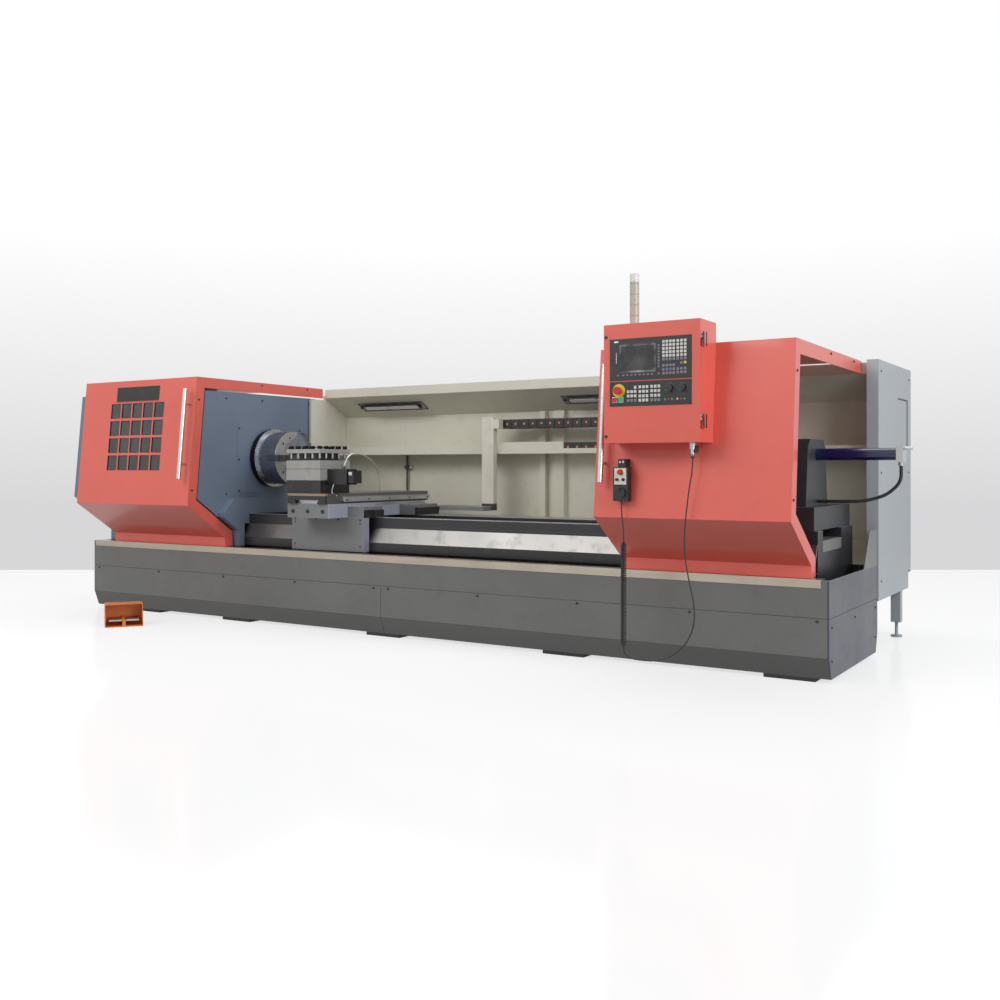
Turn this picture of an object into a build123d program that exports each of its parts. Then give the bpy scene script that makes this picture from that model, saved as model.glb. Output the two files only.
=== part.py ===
from build123d import *
import os
from math import cos, hypot, radians, sin, tan

# Flat bed CNC turning lathe. Millimetres, +Z up, X along the spindle axis, -Y is the operator's side.
# The origin is the centre of the base on the floor.

# Base
base_length = 5700
base_depth = 1040
pad_height = 20
pad_length = 270
pad_depth = 120
pad_first = 575
pad_second = 1510
pad_pitch = 1325
fold_height = 132
toe_recess = 40
seam_height = 331
seam_gap = 4
panel_groove = 3
plinth_wall = 8
tray_height = 522
tray_wall = 5
tray_floor = 8
tray_lip = 30
screw_diameter = 16
screw_head = 3
screw_drop = 13
screw_margin = 60
screws_per_panel = 5
rail_start = 20
rail_end = 5660
rail_height = 40
rail_depth = 34
rail_sheet = 3

# Spindle line
axis_height = 1162
axis_depth = 500

# Bed
bed_start = 640
bed_end = 5580
bed_front = 228
bed_back_room = 90
bed_back = base_depth - bed_back_room
bed_foot = 25
bed_body_top = 700
way_top = 755
front_way_width = 95
front_way_start = 230
rear_way_width = 240
rear_way_start = 705
bed_wall = 32
bed_deck = 60
bed_rib = 36
bed_pockets = 8
way_start = 1450
cover_front = 180
cover_back = 222
cover_low = 590
cover_high = 685
cover_skirt = 530
cover_start = 1396
cover_sheet = 3

# Doors
door_sheet = 4
door_foot_depth = 40
door_shin_depth = 37
door_shin_height = 589
door_nose_depth = -307
door_nose_height = 827
door_brow_depth = -220
door_brow_height = 1726
door_back_depth = 1084
door_back_height = 1720
door_flange = 75
left_door_start = 200
left_door_end = 1400
right_door_start = 4537
right_door_end = 5600
slide_gap = 0.3
window_start = 515
window_top = 1558
window_columns = 5
window_rows = 4
window_width = 98
window_height = 105
window_column_pitch = 117
window_row_pitch = 126.5
window_pane = 5
window_overlap = 18
handle_diameter = 30
handle_low = 1006
handle_high = 1636
handle_standoff = 55
handle_post = 16
handle_post_inset = 105
left_handle_place = 1351
right_handle_place = 4592

# Headstock and its covers
guard_inset = 90
guard_sheet = 4
guard_start = 40
guard_back = 1000
face_plane = 1391
access_front = 165
access_back = 835
access_low = 906
access_high = 1394
access_sheet = 3
skirt_end = 1452
skirt_front = -20
skirt_top = 866
skirt_chamfer = 99
headstock_start = 660
headstock_end = 1340
headstock_front = 170
headstock_back = 830
headstock_top = 1440
headstock_wall = 30
bearing_width = 80
bearing_outer = 260
front_journal = 180
spindle_bore = 104
spindle_tail = 110
nose_diameter = 240
pulley_diameter = 300
pulley_width = 90
pulley_start = 130
belt_thickness = 10
belt_width = 80
running_gap = 0.3
journal_gap = 0.03
motor_axis_height = 735
motor_diameter = 270
motor_start = 255
motor_length = 360
motor_pulley_diameter = 150
motor_shaft = 48
motor_plate = 20

# Chuck
chuck_back = 1402
plate_thickness = 45
plate_diameter = 430
chuck_face = 1630
chuck_diameter = 388
slot_width = 44
slot_depth = 70
jaw_clearance = 0.2
jaw_count = 3
jaw_inner = 62
jaw_outer = 205
jaw_reach = 98
jaw_steps = 3
face_bolt_circle = 145
face_bolt_diameter = 18
face_bolt_spread = 40
inner_bolt_circle = 84.5
face_bolt_hole = 30

# Carriage
carriage_centre = 2290
saddle_length = 640
wing_front = 122
front_wing_back = 318
rear_wing_front = 690
rear_wing_back = 962
wing_top = 830
apron_thickness = 56
apron_bottom = 527
bridge_length = 360
bridge_front = -70
bridge_back = 1000
bridge_top = 850
dovetail_top = 875
dovetail_width = 210
dovetail_front = -60
wiper_thickness = 16
wiper_height = 52
saddle_bolt = 22
saddle_bolt_pitch = 130
saddle_bolt_hole = 13
apron_screw = 14
apron_screw_hole = 8
apron_screw_inset = 30
apron_screw_rise = 150
arm_start = 2352
arm_thickness = 30
arm_top = 812
column_start = 2910
column_width = 100
column_front = 1098
column_depth = 46
column_top = 1457
column_sheet = 5
slide_back = 1058

# Cross slide and turret
slide_front = -86
slide_top = 918
slide_length = 330
slide_gib = 26
slide_cover_length = 60
slide_cover_top = 893
slide_cover_front = 75
turret_centre = 2250
turret_size = 300
turret_front = -72
riser_top = 1006
turret_block_top = 1080
head_bottom = 1081
slot_floor = 1138
slot_ceiling = 1187
head_top = 1213
slot_reach = 52
clamp_bolt = 16
bolts_per_side = 5
bolt_head = 22
bolt_head_height = 20
bolt_margin = 24
turret_motor_size = 100
turret_motor_length = 215
turret_motor_lift = 23
turret_motor_height = riser_top + turret_motor_lift
turret_motor_depth = 52

# Energy chain
chain_width = 92
chain_height = 66
chain_front = 1152
chain_low = 1202
chain_upper_centre = 1405
chain_anchor = 3555
chain_bend_place = 4340
link_pitch = 71
tray_sheet = 5

# Rear guard
canopy_start = 1420
canopy_end = 5636
canopy_front = 1090
canopy_top = 1712
canopy_lip = 1645
wall_room = 108
wall_depth = chain_front + chain_width + wall_room
wall_top = 1500
splash_height = 470
guard_thickness = 98
guard_skin = 4
post_width = 50
post_depth = 42
first_post = 3267
second_post = 3383
second_post_width = 91
beam_start = 1440
beam_low = 1190
beam_lip = 1226
beam_high = 1250
lamp_length = 620
lamp_width = 110
lamp_thickness = 32
first_lamp = 1690
second_lamp = 3520
side_wall_front = 900
pipe_diameter = 16
pipe_place = 2056

# Electric cabinet
cabinet_start = 4900
cabinet_end = 5704
cabinet_stand_off = 12
cabinet_front = base_depth + cabinet_stand_off
cabinet_back = 1965
cabinet_low = 310
cabinet_top = 1725
cabinet_sheet = 4
cabinet_window_front = 1570
cabinet_window_back = 1870
cabinet_window_low = 1220
cabinet_window_high = 1526
leg_size = 60
leg_inset = 25
leg_depth = 1800
foot_diameter = 70
foot_stem = 20
foot_height = 12
leg_bottom = 96

# Tailstock
tailstock_start = 4940
tailstock_end = 5500
tailstock_base_end = 5562
tailstock_front = 290
tailstock_back = 710
tailstock_foot_front = 225
tailstock_foot_back = 955
tailstock_foot_top = 880
tailstock_top = 1246
tailstock_wall = 30
quill_diameter = 120
quill_out = 110
quill_bore_gap = 0.3
quill_length = 420
centre_length = 190
centre_diameter = 74
cylinder_diameter = 66
cylinder_end = 5925
clamp_end = 5960
clamp_size = 88
fitting_end = 6000
hose_diameter = 18

# Control box on the right door
box_start = 4664
box_end = 5190
box_front = -439
box_low = 1215
box_high = 1825
box_sheet = 3
lid_thickness = 18
panel_thickness = 3
panel_start = 4700
panel_end = 5146
screen_low = 1535
screen_high = 1748
keys_low = 1404
keys_high = 1529
box_hinge_radius = 7
box_hinge_length = 70
box_hinge_low = 1320
box_hinge_high = 1725
tower_diameter = 50
tower_place = 4768
tower_depth = -289
tower_height = 280
stop_place = 4751
stop_height = 1483
stop_diameter = 40
dial_diameter = 34
feed_dial_place = 5032
speed_dial_place = 5101
dial_height = 1488
push_size = 22
red_push_place = 4728
green_push_place = 4762
push_height = 1437
push_travel = 4
cap_gap = 0.4
plug_place = 5111
plug_depth = -339
plug_diameter = 34
plug_length = 66

# Hand pendant
pendant_start = 4674
pendant_end = 4758
pendant_low = 915
pendant_high = 1092
pendant_front = -352
pendant_neck_high = 1135
pendant_wheel_height = 958
pendant_wheel_diameter = 60
pendant_stop_height = 1066
pendant_stop_diameter = 26
cord_diameter = 7
coil_diameter = 32
cord_depth = -338

# Foot switch
pedal_guard_x = 1082
pedal_guard_depth = -580
pedal_guard_width = 247
pedal_guard_length = 190
pedal_guard_height = 150
pedal_guard_sheet = 4
pedal_guard_turn = 54
pedal_width = 84
pedal_length = 120
pedal_thickness = 10
pedal_hinge_height = 42
pedal_pin = 8

# Places worked out from the sizes above
left_end = -base_length / 2
right_end = base_length / 2
front = -base_depth / 2
back = base_depth / 2
axis_y = front + axis_depth
door_base = tray_height + rail_sheet + slide_gap


def station(distance):
    # X of a place given as its distance from the base's left end
    return left_end + distance


def depth(distance):
    # Y of a place given as its distance behind the base's front
    return front + distance


def block(x0, x1, y0, y1, z0, z1, mode=Mode.ADD):
    with BuildSketch(Plane.XY.offset(z0)) as outline:
        with Locations(((x0 + x1) / 2, (y0 + y1) / 2)):
            Rectangle(x1 - x0, y1 - y0)
    extrude(outline.sketch, amount=z1 - z0, mode=mode)


def along_x(points, x0, x1, mode=Mode.ADD):
    # A (Y, Z) outline carried along X
    with BuildSketch(Plane.YZ.offset(x0)) as outline:
        with BuildLine():
            Polyline(*points, close=True)
        make_face()
    extrude(outline.sketch, amount=x1 - x0, mode=mode)


def rod(start, direction, diameter, length, mode=Mode.ADD):
    with BuildSketch(Plane(origin=start, z_dir=direction)) as disc:
        Circle(diameter / 2)
    extrude(disc.sketch, amount=length, mode=mode)


def offset_line(points, distance):
    # The open line moved sideways to its right by a distance, with square corners
    lines = []
    for (y0, z0), (y1, z1) in zip(points, points[1:]):
        length = hypot(y1 - y0, z1 - z0)
        normal = ((z1 - z0) / length, -(y1 - y0) / length)
        lines.append((y0 + normal[0] * distance, z0 + normal[1] * distance, y1 - y0, z1 - z0))
    moved = [(lines[0][0], lines[0][1])]
    for (ya, za, da, ea), (yb, zb, db, eb) in zip(lines, lines[1:]):
        reach = ((yb - ya) * eb - (zb - za) * db) / (da * eb - ea * db)
        moved.append((ya + da * reach, za + ea * reach))
    ya, za, da, ea = lines[-1]
    moved.append((ya + da, za + ea))
    return moved


def finish(piece, name):
    piece.part.label = name
    export_step(piece.part, f"parts/{name}.step")


os.makedirs("parts", exist_ok=True)

# Plinth: closed welded base with a toe that folds back below its front and rear faces
base_outline = [
    (front, seam_height - seam_gap),
    (front, fold_height),
    (front + toe_recess, pad_height),
    (back - toe_recess, pad_height),
    (back, fold_height),
    (back, seam_height - seam_gap),
]
plinth_inside = [
    (front + plinth_wall, seam_height - seam_gap - plinth_wall),
    (front + plinth_wall, fold_height),
    (front + toe_recess + plinth_wall, pad_height + plinth_wall),
    (back - toe_recess - plinth_wall, pad_height + plinth_wall),
    (back - plinth_wall, fold_height),
    (back - plinth_wall, seam_height - seam_gap - plinth_wall),
]
groove_outline = [
    (front - 1, seam_height),
    (front - 1, fold_height),
    (front + toe_recess - 1, pad_height - 1),
    (front + toe_recess + panel_groove, pad_height - 1),
    (front + panel_groove, fold_height),
    (front + panel_groove, seam_height),
]
with BuildPart() as plinth:
    along_x(base_outline, left_end, right_end)
    block(
        left_end + seam_gap,
        right_end - seam_gap,
        front + seam_gap,
        back - seam_gap,
        seam_height - seam_gap,
        seam_height,
    )
    along_x(plinth_inside, left_end + plinth_wall, right_end - plinth_wall, mode=Mode.SUBTRACT)
    along_x(groove_outline, -seam_gap / 2, seam_gap / 2, mode=Mode.SUBTRACT)
finish(plinth, "plinth")

# Levelling pads under the front and rear edges, and one under the middle of the base
pad_stations = [pad_first] + [pad_second + pad_pitch * step for step in range(4)]
with BuildPart() as levelling_pads:
    for pad_station in pad_stations:
        pad_left = station(pad_station) - pad_length / 2
        for pad_near in (front + toe_recess, back - toe_recess - pad_depth):
            block(pad_left, pad_left + pad_length, pad_near, pad_near + pad_depth, 0, pad_height)
    block(-pad_length / 2, pad_length / 2, -pad_depth / 2, pad_depth / 2, 0, pad_height)
finish(levelling_pads, "levelling_pads")

# Button head screws that hold the two front covers, in a row under the seam
screw_level = seam_height - seam_gap - screw_drop
panel_run = base_length / 2 - 2 * screw_margin
with BuildPart() as panel_screws:
    for panel_left in (left_end, 0):
        for step in range(screws_per_panel):
            screw_x = panel_left + screw_margin + panel_run * step / (screws_per_panel - 1)
            rod((screw_x, front, screw_level), (0, -1, 0), screw_diameter, screw_head)
finish(panel_screws, "panel_screws")

# Chip tray: open trough on the plinth, with a splash plate at the right end of its rear wall
splash_plate_low = 720
splash_plate_high = 855
splash_plate_top = 730
with BuildPart() as chip_tray:
    block(left_end, right_end, front, back, seam_height, tray_height)
    block(
        left_end + tray_wall,
        right_end - tray_wall,
        front + tray_wall,
        back - tray_wall,
        seam_height + tray_floor,
        tray_height,
        mode=Mode.SUBTRACT,
    )
    block(left_end, right_end, front, front + tray_lip, tray_height - tray_wall, tray_height)
    block(left_end, right_end, back - tray_lip, back, tray_height - tray_wall, tray_height)
    along_x(
        [
            (depth(splash_plate_low), tray_height - tray_wall),
            (depth(splash_plate_high), splash_plate_top),
            (back - tray_wall, splash_plate_top),
            (back - tray_wall, tray_height - tray_wall),
        ],
        right_end - tray_wall,
        right_end,
    )
finish(chip_tray, "chip_tray")

# Stainless rail that the doors roll on, folded over the front lip of the tray
with BuildPart() as door_rail:
    along_x(
        [
            (front - rail_sheet, tray_height - rail_height),
            (front, tray_height - rail_height),
            (front, tray_height),
            (front + rail_depth + door_foot_depth, tray_height),
            (front + rail_depth + door_foot_depth, tray_height + rail_sheet),
            (front - rail_sheet, tray_height + rail_sheet),
        ],
        station(rail_start),
        station(rail_end),
    )
finish(door_rail, "door_rail")

# Bed: one iron casting on feet, with chip pockets between its ribs and two ground ways
bed_floor = seam_height + tray_floor + bed_foot
pocket_front = front_way_start + front_way_width
pocket_pitch = (bed_end - way_start - bed_wall) / bed_pockets
foot_length = 220
core_pockets = bed_pockets + 1
core_pitch = (bed_end - bed_start - 2 * bed_wall + bed_rib) / core_pockets
bed_middle = depth((bed_front + bed_back) / 2)
with BuildPart() as bed_casting:
    block(station(bed_start), station(bed_end), depth(bed_front), depth(bed_back), bed_floor, bed_body_top)
    block(
        station(way_start),
        station(bed_end),
        depth(front_way_start),
        depth(front_way_start + front_way_width),
        bed_body_top,
        way_top,
    )
    block(
        station(way_start),
        station(bed_end),
        depth(rear_way_start),
        depth(rear_way_start + rear_way_width),
        bed_body_top,
        way_top,
    )
    for step in range(bed_pockets):
        pocket_left = station(way_start + bed_wall + pocket_pitch * step)
        block(
            pocket_left,
            pocket_left + pocket_pitch - bed_rib,
            depth(pocket_front + bed_rib),
            depth(rear_way_start - bed_rib),
            bed_body_top - bed_deck - 1,
            bed_body_top,
            mode=Mode.SUBTRACT,
        )
    for step in range(core_pockets):
        core_left = station(bed_start + bed_wall + core_pitch * step)
        for core_front in (depth(bed_front + bed_wall), bed_middle + bed_rib / 2):
            block(
                core_left,
                core_left + core_pitch - bed_rib,
                core_front,
                core_front + bed_middle - bed_rib / 2 - depth(bed_front + bed_wall),
                bed_floor,
                bed_body_top - bed_deck,
                mode=Mode.SUBTRACT,
            )
    for foot_station in (bed_start, (bed_start + bed_end - foot_length) / 2, bed_end - foot_length):
        block(
            station(foot_station),
            station(foot_station + foot_length),
            depth(bed_front),
            depth(bed_back),
            seam_height + tray_floor,
            bed_floor,
        )
finish(bed_casting, "bed_casting")

# Polished cover that leans against the front of the bed below the front way
cover_line = [
    (depth(cover_front), cover_skirt),
    (depth(cover_front), cover_low),
    (depth(cover_back), cover_high),
    (depth(bed_front), cover_high),
]
with BuildPart() as way_cover:
    along_x(
        cover_line + list(reversed(offset_line(cover_line, cover_sheet))),
        station(cover_start),
        station(bed_end),
    )
    block(
        station(cover_start),
        station(bed_end),
        depth(cover_front + cover_sheet),
        depth(bed_front),
        cover_skirt,
        cover_skirt + 2 * cover_sheet,
    )
finish(way_cover, "way_cover")

# Headstock: hollow gearless casting with a bored wall at each end
with BuildPart() as headstock_casting:
    block(
        station(headstock_start),
        station(headstock_end),
        depth(headstock_front),
        depth(headstock_back),
        bed_body_top,
        headstock_top,
    )
    block(
        station(headstock_start + bearing_width),
        station(headstock_end - bearing_width),
        depth(headstock_front + headstock_wall),
        depth(headstock_back - headstock_wall),
        bed_body_top + headstock_wall,
        headstock_top - headstock_wall,
        mode=Mode.SUBTRACT,
    )
    rod(
        (station(headstock_start - 1), axis_y, axis_height),
        (1, 0, 0),
        bearing_outer,
        headstock_end - headstock_start + 2,
        mode=Mode.SUBTRACT,
    )
finish(headstock_casting, "headstock_casting")

# Spindle bearings: one ring in each end wall of the headstock
with BuildPart() as spindle_bearings:
    for bearing_station in (headstock_start, headstock_end - bearing_width):
        bearing_start = (station(bearing_station), axis_y, axis_height)
        rod(bearing_start, (1, 0, 0), bearing_outer, bearing_width)
        rod(bearing_start, (1, 0, 0), front_journal + 2 * journal_gap, bearing_width, mode=Mode.SUBTRACT)
finish(spindle_bearings, "spindle_bearings")

# Headstock cover: folded sheet inside the left door's path, closed by the face wall at the chuck
door_outline = [
    (depth(door_foot_depth), door_base),
    (depth(door_shin_depth), door_shin_height),
    (depth(door_nose_depth), door_nose_height),
    (depth(door_brow_depth), door_brow_height),
    (depth(door_back_depth), door_back_height),
]
guard_line = offset_line(door_outline, guard_inset)
guard_top = guard_line[3][1]
guard_base = tray_height + rail_sheet
guard_shin = (guard_line[1][0], guard_base)
guard_outline = [
    guard_shin,
    guard_line[1],
    guard_line[2],
    guard_line[3],
    (depth(guard_back), guard_top),
    (depth(guard_back), guard_base),
]
guard_inside = offset_line(guard_outline, guard_sheet)
guard_inside[0] = (guard_inside[0][0], guard_base)
guard_inside[-1] = (guard_inside[-1][0], guard_base)
skirt_slope = (guard_line[2][1] - guard_line[1][1]) / (guard_line[2][0] - guard_line[1][0])
skirt_low = guard_line[1][1] + skirt_slope * (depth(skirt_front) - guard_line[1][0])
skirt_outline = [
    guard_shin,
    guard_line[1],
    (depth(skirt_front), skirt_low),
    (depth(skirt_front), skirt_top - skirt_chamfer),
    (depth(skirt_front + skirt_chamfer), skirt_top),
    (depth(headstock_back), skirt_top),
    (depth(headstock_back), way_top + slide_gap),
    (depth(front_way_start) - slide_gap, way_top + slide_gap),
    (depth(front_way_start) - slide_gap, cover_high + slide_gap),
    (depth(cover_front) - slide_gap, cover_high + slide_gap),
    (depth(cover_front) - slide_gap, guard_base),
]
nose_clearance = 20
face_hole = nose_diameter + 2 * nose_clearance
with BuildPart() as headstock_cover:
    along_x(guard_outline, station(guard_start), station(face_plane))
    along_x(
        guard_inside,
        station(guard_start + guard_sheet),
        station(face_plane - guard_sheet),
        mode=Mode.SUBTRACT,
    )
    block(
        station(face_plane),
        station(face_plane + access_sheet),
        depth(access_front),
        depth(access_back),
        access_low,
        access_high,
    )
    along_x(skirt_outline, station(face_plane), station(skirt_end))
    rod(
        (station(face_plane - 2 * guard_sheet), axis_y, axis_height),
        (1, 0, 0),
        face_hole,
        4 * guard_sheet,
        mode=Mode.SUBTRACT,
    )
    block(
        station(headstock_end + slide_gap),
        station(skirt_end + 1),
        depth(bed_front) - slide_gap,
        depth(bed_back) + slide_gap,
        guard_base - 1,
        bed_body_top + slide_gap,
        mode=Mode.SUBTRACT,
    )
finish(headstock_cover, "headstock_cover")

# Main motor on its stand at the left of the headstock
motor_left = station(motor_start)
with BuildPart() as main_motor:
    rod((motor_left, axis_y, motor_axis_height), (1, 0, 0), motor_diameter, motor_length)
    block(
        motor_left,
        motor_left + motor_length,
        axis_y - motor_diameter / 2,
        axis_y + motor_diameter / 2,
        motor_axis_height - motor_diameter / 2 - motor_plate,
        motor_axis_height - motor_diameter / 4,
    )
    for leg_left in (motor_left, motor_left + motor_length - motor_plate):
        block(
            leg_left,
            leg_left + motor_plate,
            axis_y - motor_diameter / 2,
            axis_y + motor_diameter / 2,
            seam_height + tray_floor,
            motor_axis_height - motor_diameter / 2 - motor_plate,
        )
    rod(
        (motor_left, axis_y, motor_axis_height),
        (1, 0, 0),
        motor_shaft + 2 * running_gap,
        motor_length / 2,
        mode=Mode.SUBTRACT,
    )
finish(main_motor, "main_motor")

# Motor shaft with its pulley
pulley_left = station(pulley_start)
shaft_end_gap = 2
with BuildPart() as motor_pulley:
    rod((pulley_left, axis_y, motor_axis_height), (1, 0, 0), motor_pulley_diameter, pulley_width)
    rod(
        (pulley_left + pulley_width, axis_y, motor_axis_height),
        (1, 0, 0),
        motor_shaft,
        motor_start - pulley_start - pulley_width + motor_length / 2 - shaft_end_gap,
    )
finish(motor_pulley, "motor_pulley")

# Drive belt round both pulleys
pulley_distance = axis_height - motor_axis_height
belt_left = pulley_left + (pulley_width - belt_width) / 2


def belt_face(growth):
    # Outline of a belt lying a given distance outside both pulleys
    large = pulley_diameter / 2 + growth
    small = motor_pulley_diameter / 2 + growth
    lean = (large - small) / pulley_distance
    side = (1 - lean * lean) ** 0.5
    top = (axis_y, axis_height)
    low = (axis_y, motor_axis_height)
    left_top = (top[0] - large * side, top[1] - large * lean)
    left_low = (low[0] - small * side, low[1] - small * lean)
    right_top = (top[0] + large * side, left_top[1])
    right_low = (low[0] + small * side, left_low[1])
    with BuildSketch(Plane.YZ.offset(belt_left)) as outline:
        with BuildLine():
            Line(left_low, left_top)
            ThreePointArc(left_top, (top[0], top[1] + large), right_top)
            Line(right_top, right_low)
            ThreePointArc(right_low, (low[0], low[1] - small), left_low)
        make_face()
    return outline.sketch


with BuildPart() as drive_belt:
    extrude(belt_face(running_gap + belt_thickness), amount=belt_width)
    extrude(belt_face(running_gap), amount=belt_width, mode=Mode.SUBTRACT)
finish(drive_belt, "drive_belt")

# Spindle: hollow shaft with its belt pulley at the rear and a flange for the chuck at the front
spindle_left = station(spindle_tail)
nose_start = station(headstock_end) + running_gap
with BuildPart() as spindle_shaft:
    rod((spindle_left, axis_y, axis_height), (1, 0, 0), front_journal, nose_start - spindle_left)
    rod((nose_start, axis_y, axis_height), (1, 0, 0), nose_diameter, station(chuck_back) - nose_start)
    rod((pulley_left, axis_y, axis_height), (1, 0, 0), pulley_diameter, pulley_width)
    rod(
        (spindle_left - 1, axis_y, axis_height),
        (1, 0, 0),
        spindle_bore,
        station(chuck_back) - spindle_left + 2,
        mode=Mode.SUBTRACT,
    )
finish(spindle_shaft, "spindle_shaft")

# Chuck: back plate and body, with a radial slot for each jaw and bolt holes between them
jaw_angles = [90 + 360 / jaw_count * step for step in range(jaw_count)]


def spindle_plane(x, angle):
    # Plane whose own X axis points outwards from the spindle axis at an angle from straight up
    turn = radians(angle)
    outwards = (0, -sin(turn), cos(turn))
    return Plane(origin=(x, axis_y, axis_height), x_dir=outwards, z_dir=(1, 0, 0))


with BuildPart() as chuck_body:
    rod((station(chuck_back), axis_y, axis_height), (1, 0, 0), plate_diameter, plate_thickness)
    rod(
        (station(chuck_back + plate_thickness), axis_y, axis_height),
        (1, 0, 0),
        chuck_diameter,
        chuck_face - chuck_back - plate_thickness,
    )
    rod(
        (station(chuck_back) - 1, axis_y, axis_height),
        (1, 0, 0),
        spindle_bore,
        chuck_face - chuck_back + 2,
        mode=Mode.SUBTRACT,
    )
    for jaw_angle in jaw_angles:
        with BuildSketch(spindle_plane(station(chuck_face - slot_depth), jaw_angle)) as slot:
            with Locations((plate_diameter / 4, 0)):
                Rectangle(plate_diameter / 2, slot_width)
        extrude(slot.sketch, amount=slot_depth + 1, mode=Mode.SUBTRACT)
        with BuildSketch(spindle_plane(station(chuck_face), jaw_angle + 180 / jaw_count)) as holes:
            with Locations(
                (face_bolt_circle, -face_bolt_spread),
                (face_bolt_circle, face_bolt_spread),
                (inner_bolt_circle, 0),
            ):
                Circle(face_bolt_diameter / 2)
        extrude(holes.sketch, amount=-face_bolt_hole, mode=Mode.SUBTRACT)
finish(chuck_body, "chuck_body")

# Stepped jaws, each in its slot
jaw_step = (jaw_outer - jaw_inner) / (jaw_steps + 1)
jaw_rise = jaw_reach / jaw_steps
for number, jaw_angle in enumerate(jaw_angles, start=1):
    with BuildPart() as jaw:
        with BuildSketch(spindle_plane(station(chuck_face - slot_depth) + jaw_clearance, jaw_angle)) as base:
            with Locations(((jaw_inner + jaw_outer) / 2, 0)):
                Rectangle(jaw_outer - jaw_inner, slot_width - 2 * jaw_clearance)
        extrude(base.sketch, amount=slot_depth - jaw_clearance)
        for step in range(jaw_steps):
            step_outer = jaw_outer - jaw_step * step
            with BuildSketch(spindle_plane(station(chuck_face) + jaw_rise * step, jaw_angle)) as tread:
                with Locations(((jaw_inner + step_outer) / 2, 0)):
                    Rectangle(step_outer - jaw_inner, slot_width - 2 * jaw_clearance)
            extrude(tread.sketch, amount=jaw_rise)
    finish(jaw, f"jaw_{number}")


def door_plane(x, height):
    # Plane lying on the leaning front of a door at a height, its own Y axis up the door
    share = (height - door_nose_height) / (door_brow_height - door_nose_height)
    y = depth(door_nose_depth + share * (door_brow_depth - door_nose_depth))
    rise = (0, door_brow_depth - door_nose_depth, door_brow_height - door_nose_height)
    length = hypot(rise[1], rise[2])
    outwards = (0, -rise[2] / length, rise[1] / length)
    return Plane(origin=(x, y, height), x_dir=(1, 0, 0), z_dir=outwards)


door_inside = offset_line(door_outline, door_sheet)
flange_inside = offset_line(door_outline, door_flange)
flange_inside[0] = (flange_inside[0][0], door_base)


def door_shell(x0, x1):
    # Folded door skin with an inward flange at each end
    along_x(door_outline + list(reversed(door_inside)), x0, x1)
    for flange_left in (x0, x1 - door_sheet):
        along_x(door_outline + list(reversed(flange_inside)), flange_left, flange_left + door_sheet)


# Left door with its grid of window openings
window_middle_x = station(window_start) + (window_column_pitch * (window_columns - 1) + window_width) / 2
window_middle_z = window_top - (window_row_pitch * (window_rows - 1) + window_height) / 2
with BuildPart() as left_door:
    door_shell(station(left_door_start), station(left_door_end))
    with BuildSketch(door_plane(window_middle_x, window_middle_z)) as openings:
        with GridLocations(window_column_pitch, window_row_pitch, window_columns, window_rows):
            Rectangle(window_width, window_height)
    extrude(openings.sketch, amount=-2 * door_sheet, mode=Mode.SUBTRACT)
finish(left_door, "left_door")

# Dark pane behind the window openings
with BuildPart() as left_window:
    with BuildSketch(door_plane(window_middle_x, window_middle_z).offset(-door_sheet)) as pane:
        Rectangle(
            window_column_pitch * window_columns + window_overlap,
            window_row_pitch * window_rows + window_overlap,
        )
    extrude(pane.sketch, amount=-window_pane)
finish(left_window, "left_window")

# Right door
with BuildPart() as right_door:
    door_shell(station(right_door_start), station(right_door_end))
finish(right_door, "right_door")

# Tubular door handles, each on two posts
handle_middle = (handle_low + handle_high) / 2
handle_length = handle_high - handle_low
post_reach = handle_length / 2 - handle_post_inset
for name, place in (("left_handle", left_handle_place), ("right_handle", right_handle_place)):
    handle_plane = door_plane(station(place), handle_middle)
    with BuildPart() as handle:
        grip_start = handle_plane.from_local_coords((0, -handle_length / 2, handle_standoff))
        rod(tuple(grip_start), tuple(handle_plane.y_dir), handle_diameter, handle_length)
        with BuildSketch(handle_plane) as posts:
            with Locations((0, -post_reach), (0, post_reach)):
                Circle(handle_post / 2)
        extrude(posts.sketch, amount=handle_standoff)
    finish(handle, name)

# Saddle: H shaped casting on both ways, with a dovetail for the cross slide, way wipers, and an arm at
# the rear that carries the column of the energy chain
saddle_left = station(carriage_centre - saddle_length / 2)
saddle_right = station(carriage_centre + saddle_length / 2)
saddle_base = way_top + slide_gap
bridge_left = station(carriage_centre - bridge_length / 2)
bridge_right = station(carriage_centre + bridge_length / 2)
dovetail_lean = 14
chain_top_low = chain_upper_centre - chain_height / 2


def dovetail(growth, y0, y1, mode=Mode.ADD):
    # Dovetail bar across the saddle, wider at its top, grown by a clearance
    middle = station(carriage_centre)
    half = dovetail_width / 2 + growth
    with BuildSketch(Plane.XZ.offset(-y0)) as outline:
        with BuildLine():
            Polyline(
                (middle - half + dovetail_lean, bridge_top),
                (middle + half - dovetail_lean, bridge_top),
                (middle + half, dovetail_top + growth),
                (middle - half, dovetail_top + growth),
                close=True,
            )
        make_face()
    extrude(outline.sketch, amount=-(y1 - y0), mode=mode)


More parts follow.
